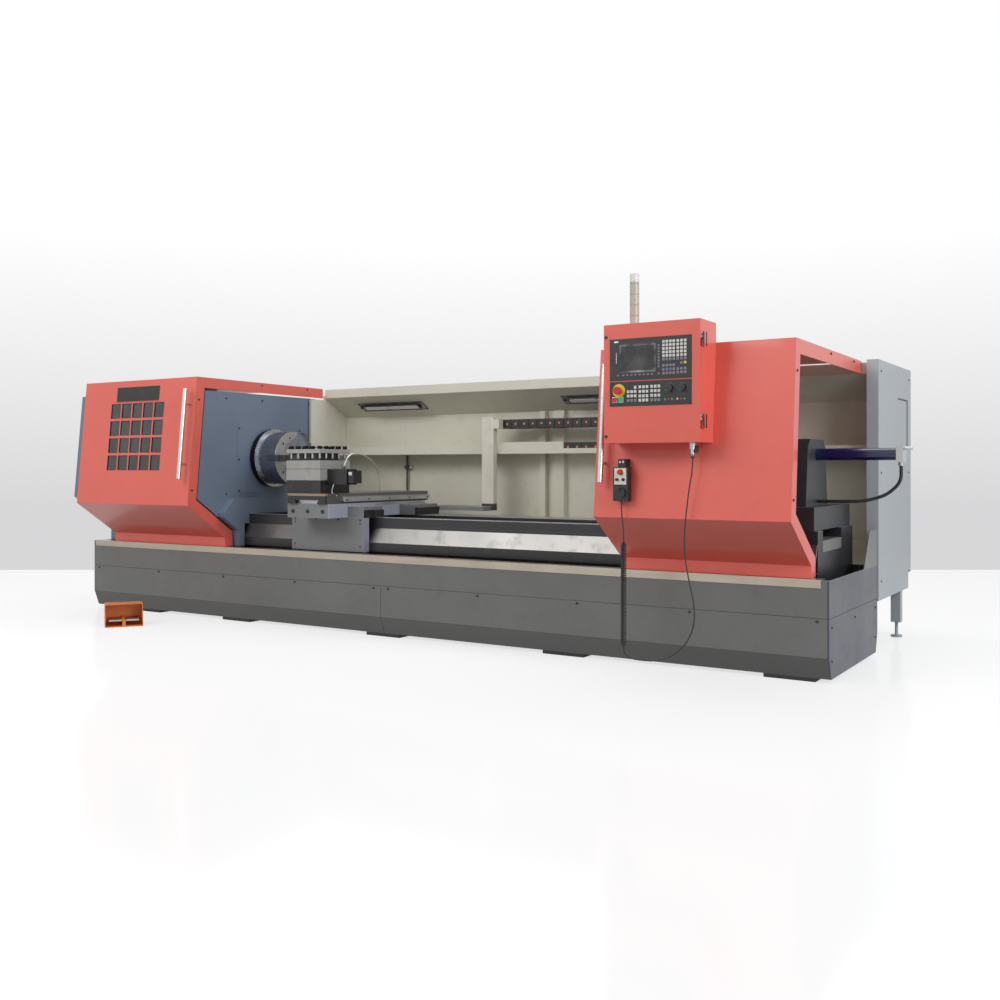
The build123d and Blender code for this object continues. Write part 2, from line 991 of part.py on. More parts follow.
with BuildPart() as saddle:
    block(saddle_left, saddle_right, depth(wing_front), depth(front_wing_back), saddle_base, wing_top)
    block(saddle_left, saddle_right, depth(rear_wing_front), depth(rear_wing_back), saddle_base, wing_top)
    block(bridge_left, bridge_right, depth(bridge_front), depth(bridge_back), saddle_base, bridge_top)
    dovetail(0, depth(dovetail_front), depth(bridge_back))
    for wiper_left in (saddle_left - wiper_thickness, saddle_right):
        for wiper_front, wiper_back in ((front_way_start, front_wing_back), (rear_way_start, rear_wing_back)):
            block(
                wiper_left,
                wiper_left + wiper_thickness,
                depth(wiper_front),
                depth(wiper_back),
                saddle_base,
                saddle_base + wiper_height,
            )
    block(
        station(arm_start),
        station(column_start + column_width),
        depth(rear_wing_back),
        depth(column_front + column_depth),
        arm_top - arm_thickness,
        arm_top,
    )
    block(
        station(column_start),
        station(column_start + column_width),
        depth(column_front),
        depth(column_front + column_depth),
        arm_top,
        column_top,
    )
    block(
        station(column_start + column_sheet),
        station(column_start + column_width - column_sheet),
        depth(column_front + column_sheet),
        depth(column_front + column_depth),
        arm_top + column_sheet,
        column_top - column_sheet,
        mode=Mode.SUBTRACT,
    )
    block(
        station(column_start + column_width),
        station(column_start + column_width) + chain_width / 2,
        depth(column_front),
        depth(chain_front + chain_width),
        chain_top_low,
        chain_top_low + chain_height,
    )
    for bolt_offset in (-saddle_bolt_pitch, 0, saddle_bolt_pitch):
        rod(
            (station(carriage_centre) + bolt_offset, depth(bridge_front) - 1, (saddle_base + bridge_top) / 2),
            (0, 1, 0),
            saddle_bolt,
            saddle_bolt_hole + 1,
            mode=Mode.SUBTRACT,
        )
finish(saddle, "saddle")

# Apron hanging from the saddle in front of the bed
with BuildPart() as apron:
    block(
        saddle_left,
        saddle_right,
        depth(wing_front),
        depth(wing_front + apron_thickness),
        apron_bottom,
        saddle_base,
    )
    with BuildSketch(Plane.XZ.offset(-depth(wing_front))) as lid_screws:
        with GridLocations(saddle_length - 2 * apron_screw_inset, apron_screw_rise, 2, 2):
            Circle(apron_screw / 2)
    extrude(
        lid_screws.sketch.moved(Location((station(carriage_centre), 0, (tray_height + saddle_base) / 2))),
        amount=-apron_screw_hole,
        mode=Mode.SUBTRACT,
    )
finish(apron, "apron")

# Cross slide on the dovetail, with a polished cover strip along its right side
slide_left = station(carriage_centre) - slide_length / 2
slide_right = slide_left + slide_length
slide_base = bridge_top + slide_gap
with BuildPart() as cross_slide:
    block(slide_left, slide_right, depth(slide_front), depth(slide_back), slide_base, slide_top)
    dovetail(slide_gap, depth(slide_front) - 1, depth(slide_back) + 1, mode=Mode.SUBTRACT)
    block(
        slide_right,
        slide_right + slide_cover_length / 3,
        depth(slide_cover_front),
        depth(slide_back),
        slide_cover_top - slide_gib,
        slide_cover_top,
    )
finish(cross_slide, "cross_slide")

# Turret base: riser block, fixed body and the post that the head turns on
turret_x = station(turret_centre)
turret_y = depth(turret_front + turret_size / 2)
turret_half = turret_size / 2
post_diameter = 70
post_cap = 96
cap_height = 12
riser_inset = 2


def turret_square(size, low, high):
    # Square block about the turret's post
    half = size / 2
    block(turret_x - half, turret_x + half, turret_y - half, turret_y + half, low, high)


with BuildPart() as turret_base:
    turret_square(turret_size - 2 * riser_inset, slide_top, riser_top)
    turret_square(turret_size, riser_top, turret_block_top)
    post_length = head_top - turret_block_top + slide_gap
    rod((turret_x, turret_y, turret_block_top), (0, 0, 1), post_diameter, post_length)
    rod((turret_x, turret_y, head_top + slide_gap), (0, 0, 1), post_cap, cap_height)
finish(turret_base, "turret_base")

# Four way turret head with a tool slot on each side
with BuildPart() as turret_head:
    turret_square(turret_size, head_bottom, head_top)
    with BuildSketch(Plane.XY.offset(slot_floor)) as slots:
        with Locations((turret_x, turret_y)):
            Rectangle(turret_size + 2, turret_size + 2)
            Rectangle(turret_size - 2 * slot_reach, turret_size - 2 * slot_reach, mode=Mode.SUBTRACT)
    extrude(slots.sketch, amount=slot_ceiling - slot_floor, mode=Mode.SUBTRACT)
    rod(
        (turret_x, turret_y, head_bottom - 1),
        (0, 0, 1),
        post_diameter + slide_gap,
        head_top - head_bottom + 2,
        mode=Mode.SUBTRACT,
    )
    bolt_pitch = (turret_size - 2 * bolt_margin) / (bolts_per_side - 1)
    bolt_spots = []
    for side in range(4):
        for step in range(bolts_per_side - 1):
            along = -turret_half + bolt_margin + bolt_pitch * step
            across = -turret_half + bolt_margin
            turn = radians(90 * side)
            bolt_spots.append((
                turret_x + along * cos(turn) - across * sin(turn),
                turret_y + along * sin(turn) + across * cos(turn),
            ))
    with BuildSketch(Plane.XY.offset(slot_ceiling - 1)) as threads:
        with Locations(*bolt_spots):
            Circle(clamp_bolt / 2 + jaw_clearance)
    extrude(threads.sketch, amount=head_top - slot_ceiling + 2, mode=Mode.SUBTRACT)
finish(turret_head, "turret_head")

# Square headed bolts that clamp the tools
tool_height = 14
bolt_lift = 2
bolt_tip = slot_floor + tool_height
with BuildPart() as tool_bolts:
    with BuildSketch(Plane.XY.offset(bolt_tip)) as shanks:
        with Locations(*bolt_spots):
            Circle(clamp_bolt / 2)
    extrude(shanks.sketch, amount=head_top + bolt_lift - bolt_tip)
    with BuildSketch(Plane.XY.offset(head_top + bolt_lift)) as heads:
        with Locations(*bolt_spots):
            Rectangle(bolt_head, bolt_head)
    extrude(heads.sketch, amount=bolt_head_height)
finish(tool_bolts, "tool_bolts")

# Servo motor that indexes the turret
motor_face = turret_x + turret_half
encoder_length = 48
fitting_diameter = 22
fitting_length = 18
hose_way = Vector(-2, 35, 92).normalized()
hose_root_place = 88
hose_root_depth = 60
fitting_root = 6
hose_root = Vector(
    motor_face + hose_root_place,
    depth(hose_root_depth),
    turret_motor_height + turret_motor_size / 2,
)
hose_start = hose_root + hose_way * fitting_length
encoder_inset = 8
motor_half = turret_motor_size / 2
with BuildPart() as turret_motor:
    block(
        motor_face,
        motor_face + turret_motor_length - encoder_length,
        depth(turret_motor_depth) - motor_half,
        depth(turret_motor_depth) + motor_half,
        turret_motor_height - motor_half,
        turret_motor_height + motor_half,
    )
    block(
        motor_face + turret_motor_length - encoder_length,
        motor_face + turret_motor_length,
        depth(turret_motor_depth) - motor_half + encoder_inset,
        depth(turret_motor_depth) + motor_half - encoder_inset,
        turret_motor_height - motor_half + encoder_inset,
        turret_motor_height + motor_half - encoder_inset,
    )
    rod(
        tuple(hose_root - hose_way * fitting_root),
        tuple(hose_way),
        fitting_diameter,
        fitting_length + fitting_root,
    )
finish(turret_motor, "turret_motor")


def tube(points, diameter):
    # Straight runs joined by arcs as large as the shorter run of each corner allows
    vectors = [Vector(*point) for point in points]
    radii = []
    for before, corner, after in zip(vectors, vectors[1:], vectors[2:]):
        turn = radians((corner - before).get_angle(after - corner))
        shorter = min((corner - before).length, (after - corner).length)
        radii.append(0.45 * shorter / tan(turn / 2))
    print("radii", [round(radius) for radius in radii])
    with BuildLine() as route:
        FilletPolyline(*points, radius=radii)
    with BuildSketch(Plane(origin=route.line @ 0, z_dir=route.line % 0)) as section:
        Circle(diameter / 2)
    sweep(section.sketch, path=route.line)
    print("length", round(sum(edge.length for edge in route.edges())))


# Braided coolant hose from the motor's block over to the cross slide
coolant_hose_diameter = 11
hose_end_x = slide_right - 12
with BuildPart() as coolant_hose:
    tube(
        [
            tuple(hose_start),
            tuple(hose_start + hose_way * 92),
            (motor_face + 78, depth(262), 1186),
            (motor_face + 62, depth(430), 1120),
            (hose_end_x, depth(503), 1012),
            (hose_end_x, depth(503), slide_top),
        ],
        coolant_hose_diameter,
    )
finish(coolant_hose, "coolant_hose")

# Energy chain: upper run on the column, a bend that rolls along, and the lower run in its tray
chain_lower_centre = chain_low + chain_height / 2
upper_start = column_start + column_width + chain_width / 2
link_gap = 4
link_rim = 3


def chain_run(x0, x1, height):
    # Straight row of links: full height plates on a slimmer core, from a start towards the bend
    count = int((x1 - x0) / link_pitch)
    block(
        x0,
        x1 - slide_gap,
        depth(chain_front + link_rim),
        depth(chain_front + chain_width - link_rim),
        height - chain_height / 2 + link_rim,
        height + chain_height / 2 - link_rim,
    )
    with BuildSketch(Plane.XZ.offset(-depth(chain_front))) as links:
        with Locations((x0 + link_pitch * count / 2, height)):
            with GridLocations(link_pitch, 1, count, 1):
                Rectangle(link_pitch - link_gap, chain_height)
    extrude(links.sketch, amount=-chain_width)


with BuildPart() as chain_upper_run:
    chain_run(station(upper_start), station(chain_bend_place), chain_upper_centre)
finish(chain_upper_run, "chain_upper_run")

with BuildPart() as chain_lower_run:
    chain_run(station(chain_anchor), station(chain_bend_place), chain_lower_centre)
finish(chain_lower_run, "chain_lower_run")

bend_radius = (chain_upper_centre - chain_lower_centre) / 2
bend_outer = bend_radius + chain_height / 2 - slide_gap
bend_height = (chain_upper_centre + chain_lower_centre) / 2
with BuildPart() as chain_bend:
    with BuildSketch(Plane.XZ.offset(-depth(chain_front))) as half_ring:
        with Locations((station(chain_bend_place), bend_height)):
            Circle(bend_outer)
            Circle(bend_radius - chain_height / 2 + slide_gap, mode=Mode.SUBTRACT)
        with Locations((station(chain_bend_place) - bend_outer, bend_height)):
            Rectangle(2 * bend_outer, 2 * bend_outer + 2, mode=Mode.SUBTRACT)
    extrude(half_ring.sketch, amount=-chain_width)
finish(chain_bend, "chain_bend")

# Rear guard: double skinned canopy and back wall, with posts, the chain's tray, a left side wall and a
# coolant pipe
wall_back = wall_depth + guard_thickness
wall_low = 640
back_low = 600
guard_profile = [
    (back, splash_height),
    (back, tray_height + slide_gap),
    (depth(wall_depth), wall_low),
    (depth(wall_depth), wall_top),
    (depth(canopy_front), canopy_lip),
    (depth(canopy_front), canopy_top),
    (depth(wall_back), canopy_top),
    (depth(wall_back), back_low),
]
side_sheet = 20
side_lap = 25
side_lift = 5
side_bed_gap = 20
side_seam = 20
side_start = canopy_start - side_sheet
side_high = 1630
pipe_wall_gap = 20
valve_height = 1094
valve_length = 46
valve_diameter = 30
closed_profile = guard_profile + [guard_profile[0]]
guard_hollow = offset_line(closed_profile, guard_skin)[:-1]
guard_hollow[0] = (guard_hollow[1][0], guard_hollow[0][1] + 2 * guard_skin)
with BuildPart() as rear_guard:
    along_x(guard_profile, station(canopy_start), station(canopy_end))
    along_x(
        guard_hollow,
        station(canopy_start + guard_skin),
        station(canopy_end - guard_skin),
        mode=Mode.SUBTRACT,
    )
    for post_left, width in ((first_post, post_width), (second_post, second_post_width)):
        block(
            station(post_left),
            station(post_left + width),
            depth(wall_depth - post_depth),
            depth(wall_depth),
            wall_low,
            wall_top,
        )
    block(
        station(beam_start),
        station(canopy_end),
        depth(chain_front - tray_sheet),
        depth(wall_depth),
        chain_low - tray_sheet,
        chain_low,
    )
    beam_front = depth(chain_front - tray_sheet - 1)
    beam_steps = (
        (beam_start, upper_start, beam_high),
        (upper_start, chain_anchor, chain_low + link_pitch),
        (chain_anchor, canopy_end, beam_lip),
    )
    for step_start, step_end, step_high in beam_steps:
        beam_back = beam_front + tray_sheet
        block(station(step_start), station(step_end), beam_front, beam_back, beam_low, step_high)
    along_x(
        [
            (depth(side_wall_front + side_lap), way_top + side_lift),
            (depth(side_wall_front + side_lap), side_high),
            (depth(canopy_front), side_high),
            (depth(canopy_front), canopy_lip + side_seam),
            (depth(wall_depth + side_seam), wall_top + side_seam),
            (depth(wall_depth + side_seam), tray_height + side_lift),
            (depth(bed_back + side_bed_gap), tray_height + side_lift),
            (depth(bed_back + side_bed_gap), way_top + side_lift),
        ],
        station(side_start),
        station(canopy_start),
    )
    pipe_y = depth(wall_depth - pipe_wall_gap)
    pipe_length = chain_low - tray_sheet / 2 - wall_low
    rod((station(pipe_place), pipe_y, wall_low), (0, 0, 1), pipe_diameter, pipe_length)
    block(
        station(pipe_place) - valve_diameter / 2,
        station(pipe_place) + valve_diameter / 2,
        pipe_y - valve_diameter / 2,
        depth(wall_depth),
        valve_height - valve_diameter / 2,
        valve_height + valve_diameter / 2,
    )
    rod((station(pipe_place), pipe_y, valve_height), (1, 0, 0), valve_diameter, valve_length)
finish(rear_guard, "rear_guard")

# Two work lamps on the slope under the canopy
slope_rise = (0, wall_depth - canopy_front, wall_top - canopy_lip)
slope_length = hypot(slope_rise[1], slope_rise[2])
slope_out = (0, slope_rise[2] / slope_length, -slope_rise[1] / slope_length)
slope_middle = (depth((wall_depth + canopy_front) / 2), (wall_top + canopy_lip) / 2)
lamp_rim = 9
with BuildPart() as work_lamps:
    for lamp_left in (first_lamp, second_lamp):
        lamp_plane = Plane(
            origin=(station(lamp_left) + lamp_length / 2, slope_middle[0], slope_middle[1]),
            x_dir=(1, 0, 0),
            z_dir=slope_out,
        )
        with BuildSketch(lamp_plane) as housing:
            Rectangle(lamp_length, lamp_width)
        extrude(housing.sketch, amount=lamp_thickness)
        with BuildSketch(lamp_plane.offset(lamp_thickness)) as mouth:
            Rectangle(lamp_length - 2 * lamp_rim, lamp_width - 2 * lamp_rim)
        extrude(mouth.sketch, amount=-lamp_rim, mode=Mode.SUBTRACT)
finish(work_lamps, "work_lamps")

# Electric cabinet behind the right end, with a window, a side panel that closes the guard, and legs
notch_depth = 1890
notch_height = 410
cabinet_gap = 5
cabinet_body_front = wall_back + cabinet_gap
second_leg = 4960
with BuildPart() as electric_cabinet:
    block(
        station(cabinet_start),
        station(cabinet_end),
        depth(cabinet_body_front),
        depth(cabinet_back),
        cabinet_low,
        cabinet_top,
    )
    block(
        station(canopy_end),
        station(cabinet_end),
        depth(cabinet_front),
        depth(cabinet_body_front),
        cabinet_low,
        cabinet_top,
    )
    block(
        station(cabinet_start),
        station(cabinet_end),
        depth(notch_depth),
        depth(cabinet_back),
        cabinet_low,
        notch_height,
        mode=Mode.SUBTRACT,
    )
    block(
        station(cabinet_start + cabinet_sheet),
        station(cabinet_end - 2 * cabinet_sheet),
        depth(cabinet_body_front + cabinet_sheet),
        depth(cabinet_back - cabinet_sheet),
        notch_height + cabinet_sheet,
        cabinet_top - cabinet_sheet,
        mode=Mode.SUBTRACT,
    )
    block(
        station(cabinet_start + cabinet_sheet),
        station(cabinet_end - 2 * cabinet_sheet),
        depth(cabinet_body_front + cabinet_sheet),
        depth(notch_depth - cabinet_sheet),
        cabinet_low + cabinet_sheet,
        cabinet_top / 2,
        mode=Mode.SUBTRACT,
    )
    block(
        station(canopy_end + cabinet_sheet),
        station(cabinet_end - 2 * cabinet_sheet),
        depth(cabinet_front + cabinet_sheet),
        depth(notch_depth - cabinet_sheet),
        cabinet_low + cabinet_sheet,
        cabinet_top - cabinet_sheet,
        mode=Mode.SUBTRACT,
    )
    block(
        station(cabinet_end - cabinet_sheet),
        station(cabinet_end),
        depth(cabinet_window_front),
        depth(cabinet_window_back),
        cabinet_window_low,
        cabinet_window_high,
        mode=Mode.SUBTRACT,
    )
    for leg_left in (second_leg, cabinet_end - leg_inset - leg_size):
        block(
            station(leg_left),
            station(leg_left + leg_size),
            depth(leg_depth) - leg_size / 2,
            depth(leg_depth) + leg_size / 2,
            leg_bottom,
            cabinet_low,
        )
        leg_middle = (station(leg_left + leg_size / 2), depth(leg_depth))
        rod((*leg_middle, foot_height), (0, 0, 1), foot_stem, leg_bottom - foot_height)
        rod((*leg_middle, 0), (0, 0, 1), foot_diameter, foot_height)
finish(electric_cabinet, "electric_cabinet")

# Tailstock: casting on the ways, bored for the quill
foot_step = 40
body_start = tailstock_start + foot_step
shoulder_height = 1200
shoulder_inset = 40
brow_inset = 86
quill_start = body_start - quill_out
quill_end = quill_start + quill_length
rod_diameter = 36
rod_length = 420
rod_bore = 60
with BuildPart() as tailstock_body:
    block(
        station(tailstock_start),
        station(tailstock_base_end),
        depth(tailstock_foot_front),
        depth(tailstock_foot_back),
        way_top + slide_gap,
        tailstock_foot_top,
    )
    along_x(
        [
            (depth(tailstock_front), tailstock_foot_top),
            (depth(tailstock_front + shoulder_inset), shoulder_height),
            (depth(tailstock_front + brow_inset), tailstock_top),
            (depth(tailstock_back - brow_inset), tailstock_top),
            (depth(tailstock_back - shoulder_inset), shoulder_height),
            (depth(tailstock_back), tailstock_foot_top),
        ],
        station(body_start),
        station(tailstock_end),
    )
    rod(
        (station(body_start - 1), axis_y, axis_height),
        (1, 0, 0),
        quill_diameter + quill_bore_gap,
        quill_length + 1,
        mode=Mode.SUBTRACT,
    )
    rod(
        (station(body_start), axis_y, axis_height),
        (1, 0, 0),
        rod_bore,
        tailstock_end - body_start + 1,
        mode=Mode.SUBTRACT,
    )
    block(
        station(body_start + tailstock_wall),
        station(tailstock_end - tailstock_wall),
        depth(tailstock_front + shoulder_inset + tailstock_wall),
        depth(tailstock_back - shoulder_inset - tailstock_wall),
        way_top,
        axis_height - quill_diameter / 2 - tailstock_wall,
        mode=Mode.SUBTRACT,
    )
finish(tailstock_body, "tailstock_body")

# Quill with its push rod, which runs into the cylinder behind the tailstock
shank_diameter = 44
shank_length = 90
shank_end_gap = 2
with BuildPart() as quill:
    rod((station(quill_start), axis_y, axis_height), (1, 0, 0), quill_diameter, quill_length)
    rod((station(quill_end), axis_y, axis_height), (1, 0, 0), rod_diameter, rod_length)
    rod(
        (station(quill_start) - 1, axis_y, axis_height),
        (1, 0, 0),
        shank_diameter + quill_bore_gap,
        shank_length + shank_end_gap + 1,
        mode=Mode.SUBTRACT,
    )
finish(quill, "quill")

# Live centre: head and cone that turn on a shank in the quill
cone_length = 62
neck_length = centre_length - cone_length
with BuildPart() as live_centre:
    rod((station(quill_start), axis_y, axis_height), (1, 0, 0), shank_diameter, shank_length)
    rod(
        (station(quill_start) - slide_gap - neck_length, axis_y, axis_height),
        (1, 0, 0),
        centre_diameter,
        neck_length,
    )
    rod((station(quill_start) - slide_gap, axis_y, axis_height), (1, 0, 0), shank_diameter, slide_gap)
    cone_base = station(quill_start) - slide_gap - neck_length
    cone_plane = Plane(origin=(cone_base, axis_y, axis_height), x_dir=(-1, 0, 0), z_dir=(0, 1, 0))
    with BuildSketch(cone_plane) as cone:
        with BuildLine():
            Polyline((0, 0), (0, centre_diameter / 2), (cone_length, 0), close=True)
        make_face()
    revolve(cone.sketch, axis=Axis((cone_base, axis_y, axis_height), (1, 0, 0)))
finish(live_centre, "live_centre")

# Hydraulic cylinder that pushes the quill, with its end clamp and fittings
cylinder_bore = 50
cap_thickness = 20
clamp_drop = clamp_size / 2
hose_fitting = 30
hose_fitting_height = 18
clamp_middle = station((cylinder_end + clamp_end) / 2)
with BuildPart() as quill_cylinder:
    rod(
        (station(tailstock_end), axis_y, axis_height),
        (1, 0, 0),
        cylinder_diameter,
        cylinder_end - tailstock_end,
    )
    rod(
        (station(tailstock_end + cap_thickness), axis_y, axis_height),
        (1, 0, 0),
        cylinder_bore,
        cylinder_end - tailstock_end - 2 * cap_thickness,
        mode=Mode.SUBTRACT,
    )
    rod(
        (station(tailstock_end - 1), axis_y, axis_height),
        (1, 0, 0),
        rod_diameter + quill_bore_gap,
        cap_thickness + 2,
        mode=Mode.SUBTRACT,
    )
    block(
        station(cylinder_end),
        station(clamp_end),
        axis_y - clamp_size / 2,
        axis_y + clamp_size / 2,
        axis_height - clamp_drop,
        axis_height + clamp_drop,
    )
    rod(
        (station(clamp_end), axis_y, axis_height + clamp_size / 3),
        (1, 0, 0),
        hose_diameter,
        fitting_end - clamp_end,
    )
    rod(
        (clamp_middle, axis_y, axis_height - clamp_drop - hose_fitting_height),
        (0, 0, 1),
        hose_fitting,
        hose_fitting_height,
    )
finish(quill_cylinder, "quill_cylinder")

# Hydraulic hose from the end clamp back into the tailstock
hose_top = axis_height - clamp_drop - hose_fitting_height
with BuildPart() as hydraulic_hose:
    tube(
        [
            (clamp_middle, axis_y, hose_top),
            (clamp_middle, axis_y, hose_top - 85),
            (clamp_middle - 70, axis_y, hose_top - 155),
            (clamp_middle - 185, axis_y, hose_top - 191),
            (clamp_middle - 310, axis_y, hose_top - 194),
            (station(tailstock_end), axis_y, hose_top - 194),
        ],
        hose_diameter,
    )
finish(hydraulic_hose, "hydraulic_hose")


def door_face(height):
    # Y of the door's leaning outer face at a height
    share = (height - door_nose_height) / (door_brow_height - door_nose_height)
    return depth(door_nose_depth + share * (door_brow_depth - door_nose_depth))


# Control box: steel box on the right door, open at the front, with its hinge knuckles and cable plug
box_left = station(box_start)
box_right = station(box_end)
lid_front = depth(box_front)
lid_back = lid_front + lid_thickness
box_mouth = lid_back + slide_gap
box_profile = [
    (door_face(box_low), box_low),
    (box_mouth, box_low),
    (box_mouth, box_high),
    (depth(door_brow_depth), box_high),
    (depth(door_brow_depth), door_brow_height),
]
hinge_x = box_right + box_hinge_radius + 1
hinge_pin = 6
half_knuckle = box_hinge_length / 2
leaf_length = 22
leaf_inset = 4
plug_nose = 22
with BuildPart() as control_box:
    along_x(box_profile, box_left, box_right)
    block(
        box_left + box_sheet,
        box_right - box_sheet,
        box_mouth - 1,
        door_face(box_low) - box_sheet,
        box_low + box_sheet,
        box_high - box_sheet,
        mode=Mode.SUBTRACT,
    )
    for hinge_height in (box_hinge_low, box_hinge_high):
        knuckle_low = (hinge_x, lid_back, hinge_height - half_knuckle)
        rod(knuckle_low, (0, 0, 1), 2 * box_hinge_radius, half_knuckle)
        rod((hinge_x, lid_back, hinge_height), (0, 0, 1), hinge_pin, half_knuckle)
        block(
            box_right,
            hinge_x,
            box_mouth,
            box_mouth + leaf_length,
            hinge_height - half_knuckle,
            hinge_height - slide_gap,
        )
    rod((station(plug_place), depth(plug_depth), box_low), (0, 0, -1), plug_diameter, plug_length / 2)
    rod((station(plug_place), depth(plug_depth), box_low), (0, 0, -1), plug_nose, plug_length)
finish(control_box, "control_box")

# Controls on the lid: X, height and the size of the hole that each one needs
round_controls = [
    (station(stop_place), stop_height, stop_diameter / 2),
    (station(feed_dial_place), dial_height, dial_diameter / 4),
    (station(speed_dial_place), dial_height, dial_diameter / 4),
]
push_controls = [station(red_push_place), station(green_push_place)]


def control_holes(y, thickness):
    # Holes through a sheet whose front is at y
    with BuildSketch(Plane.XZ.offset(-y)) as holes:
        for x, height, size in round_controls:
            with Locations((x, height)):
                Circle(size / 2 + cap_gap)
        with Locations(*[(x, push_height) for x in push_controls]):
            Rectangle(push_size + 2 * cap_gap, push_size + 2 * cap_gap)
    extrude(holes.sketch, amount=-thickness, mode=Mode.SUBTRACT)


with BuildPart() as box_lid:
    block(box_left, box_right, lid_front, lid_back, box_low, box_high)
    block(
        box_left + box_sheet,
        box_right - box_sheet,
        lid_front + box_sheet,
        lid_back + 1,
        box_low + box_sheet,
        box_high - box_sheet,
        mode=Mode.SUBTRACT,
    )
    control_holes(lid_front - 1, box_sheet + 2)
    for hinge_height in (box_hinge_low, box_hinge_high):
        knuckle_low = (hinge_x, lid_back, hinge_height + slide_gap)
        rod(knuckle_low, (0, 0, 1), 2 * box_hinge_radius, half_knuckle - slide_gap)
        block(
            box_right,
            hinge_x,
            lid_back - leaf_length + leaf_inset,
            lid_back - leaf_inset,
            hinge_height + slide_gap,
            hinge_height + half_knuckle,
        )
        rod(
            (hinge_x, lid_back, hinge_height),
            (0, 0, 1),
            hinge_pin + 2 * running_gap,
            half_knuckle + 1,
            mode=Mode.SUBTRACT,
        )
finish(box_lid, "box_lid")

# Operator panel: screen plate with its keys, and the machine plate below with key blocks
panel_face = lid_front - panel_thickness
screen_start = 4757
screen_end = 4951
screen_bottom = 1581
screen_top = 1719
screen_recess = 1.5
key_size = 14
key_pitch = 21
key_rise = 1.5
key_columns = 6
key_rows = 8
keyboard_middle = 5053
keyboard_height = 1650
soft_key_height = 1560
soft_keys = 9
soft_key_size = 11
block_key_size = 12
block_key_pitch = 16
block_key_drop = 18
block_key_columns = 3
block_key_rows = 4
block_starts = (4838, 4904, 4966)


def raised_keys(x, height, columns, rows, pitch, size):
    # Field of flat membrane keys centred on a place of the panel
    with BuildSketch(Plane.XZ.offset(-panel_face)) as keys:
        with Locations((station(x), height)):
            with GridLocations(pitch, pitch, columns, rows):
                Rectangle(size, size)
    extrude(keys.sketch, amount=key_rise)


with BuildPart() as operator_panel:
    for panel_low, panel_high in ((screen_low, screen_high), (keys_low, keys_high)):
        block(station(panel_start), station(panel_end), panel_face, lid_front, panel_low, panel_high)
    block(
        station(screen_start),
        station(screen_end),
        panel_face,
        panel_face + screen_recess,
        screen_bottom,
        screen_top,
        mode=Mode.SUBTRACT,
    )
    raised_keys(keyboard_middle, keyboard_height, key_columns, key_rows, key_pitch, key_size)
    raised_keys((screen_start + screen_end) / 2, soft_key_height, soft_keys, 1, key_pitch, soft_key_size)
    for block_middle in block_starts:
        raised_keys(
            block_middle,
            dial_height - block_key_drop,
            block_key_columns,
            block_key_rows,
            block_key_pitch,
            block_key_size,
        )
    control_holes(panel_face - 1, panel_thickness + 2)
finish(operator_panel, "operator_panel")

# Mushroom stop knob with its stem through the panel
stop_lift = 8
stop_head = 20
stem_inside = 14
with BuildPart() as stop_knob:
    stop_face = panel_face - stop_lift - stop_head
    rod((station(stop_place), stop_face, stop_height), (0, 1, 0), stop_diameter, stop_head)
    rod(
        (station(stop_place), stop_face, stop_height),
        (0, 1, 0),
        stop_diameter / 2,
        stop_head + stop_lift + stem_inside,
    )
finish(stop_knob, "stop_knob")

# Two override dials with their spindles
dial_rise = 16
for name, place in (("feed_dial", feed_dial_place), ("speed_dial", speed_dial_place)):
    with BuildPart() as dial:
        dial_face = panel_face - slide_gap - dial_rise
        rod((station(place), dial_face, dial_height), (0, 1, 0), dial_diameter, dial_rise)
        rod((station(place), dial_face, dial_height), (0, 1, 0), dial_diameter / 4, dial_rise + stem_inside)
    finish(dial, name)

# Square push buttons through the lid
push_rise = 6
for name, place in (("red_button", red_push_place), ("green_button", green_push_place)):
    with BuildPart() as push:
        block(
            station(place) - push_size / 2,
            station(place) + push_size / 2,
            panel_face - push_rise,
            panel_face + panel_thickness + stem_inside / 2,
            push_height - push_size / 2,
            push_height + push_size / 2,
        )
    finish(push, name)

# Signal tower on the box, with a groove between its lenses
lens_count = 5
lens_pitch = tower_height / lens_count
groove_width = 3
with BuildPart() as signal_tower:
    tower_spot = (station(tower_place), depth(tower_depth))
    rod((*tower_spot, box_high), (0, 0, 1), tower_diameter, tower_height)
    for step in range(1, lens_count):
        with BuildSketch(Plane.XY.offset(box_high + lens_pitch * step)) as ring:
            with Locations(tower_spot):
                Circle(tower_diameter)
                Circle(tower_diameter / 2 - groove_width / 2, mode=Mode.SUBTRACT)
        extrude(ring.sketch, amount=groove_width, mode=Mode.SUBTRACT)
finish(signal_tower, "signal_tower")

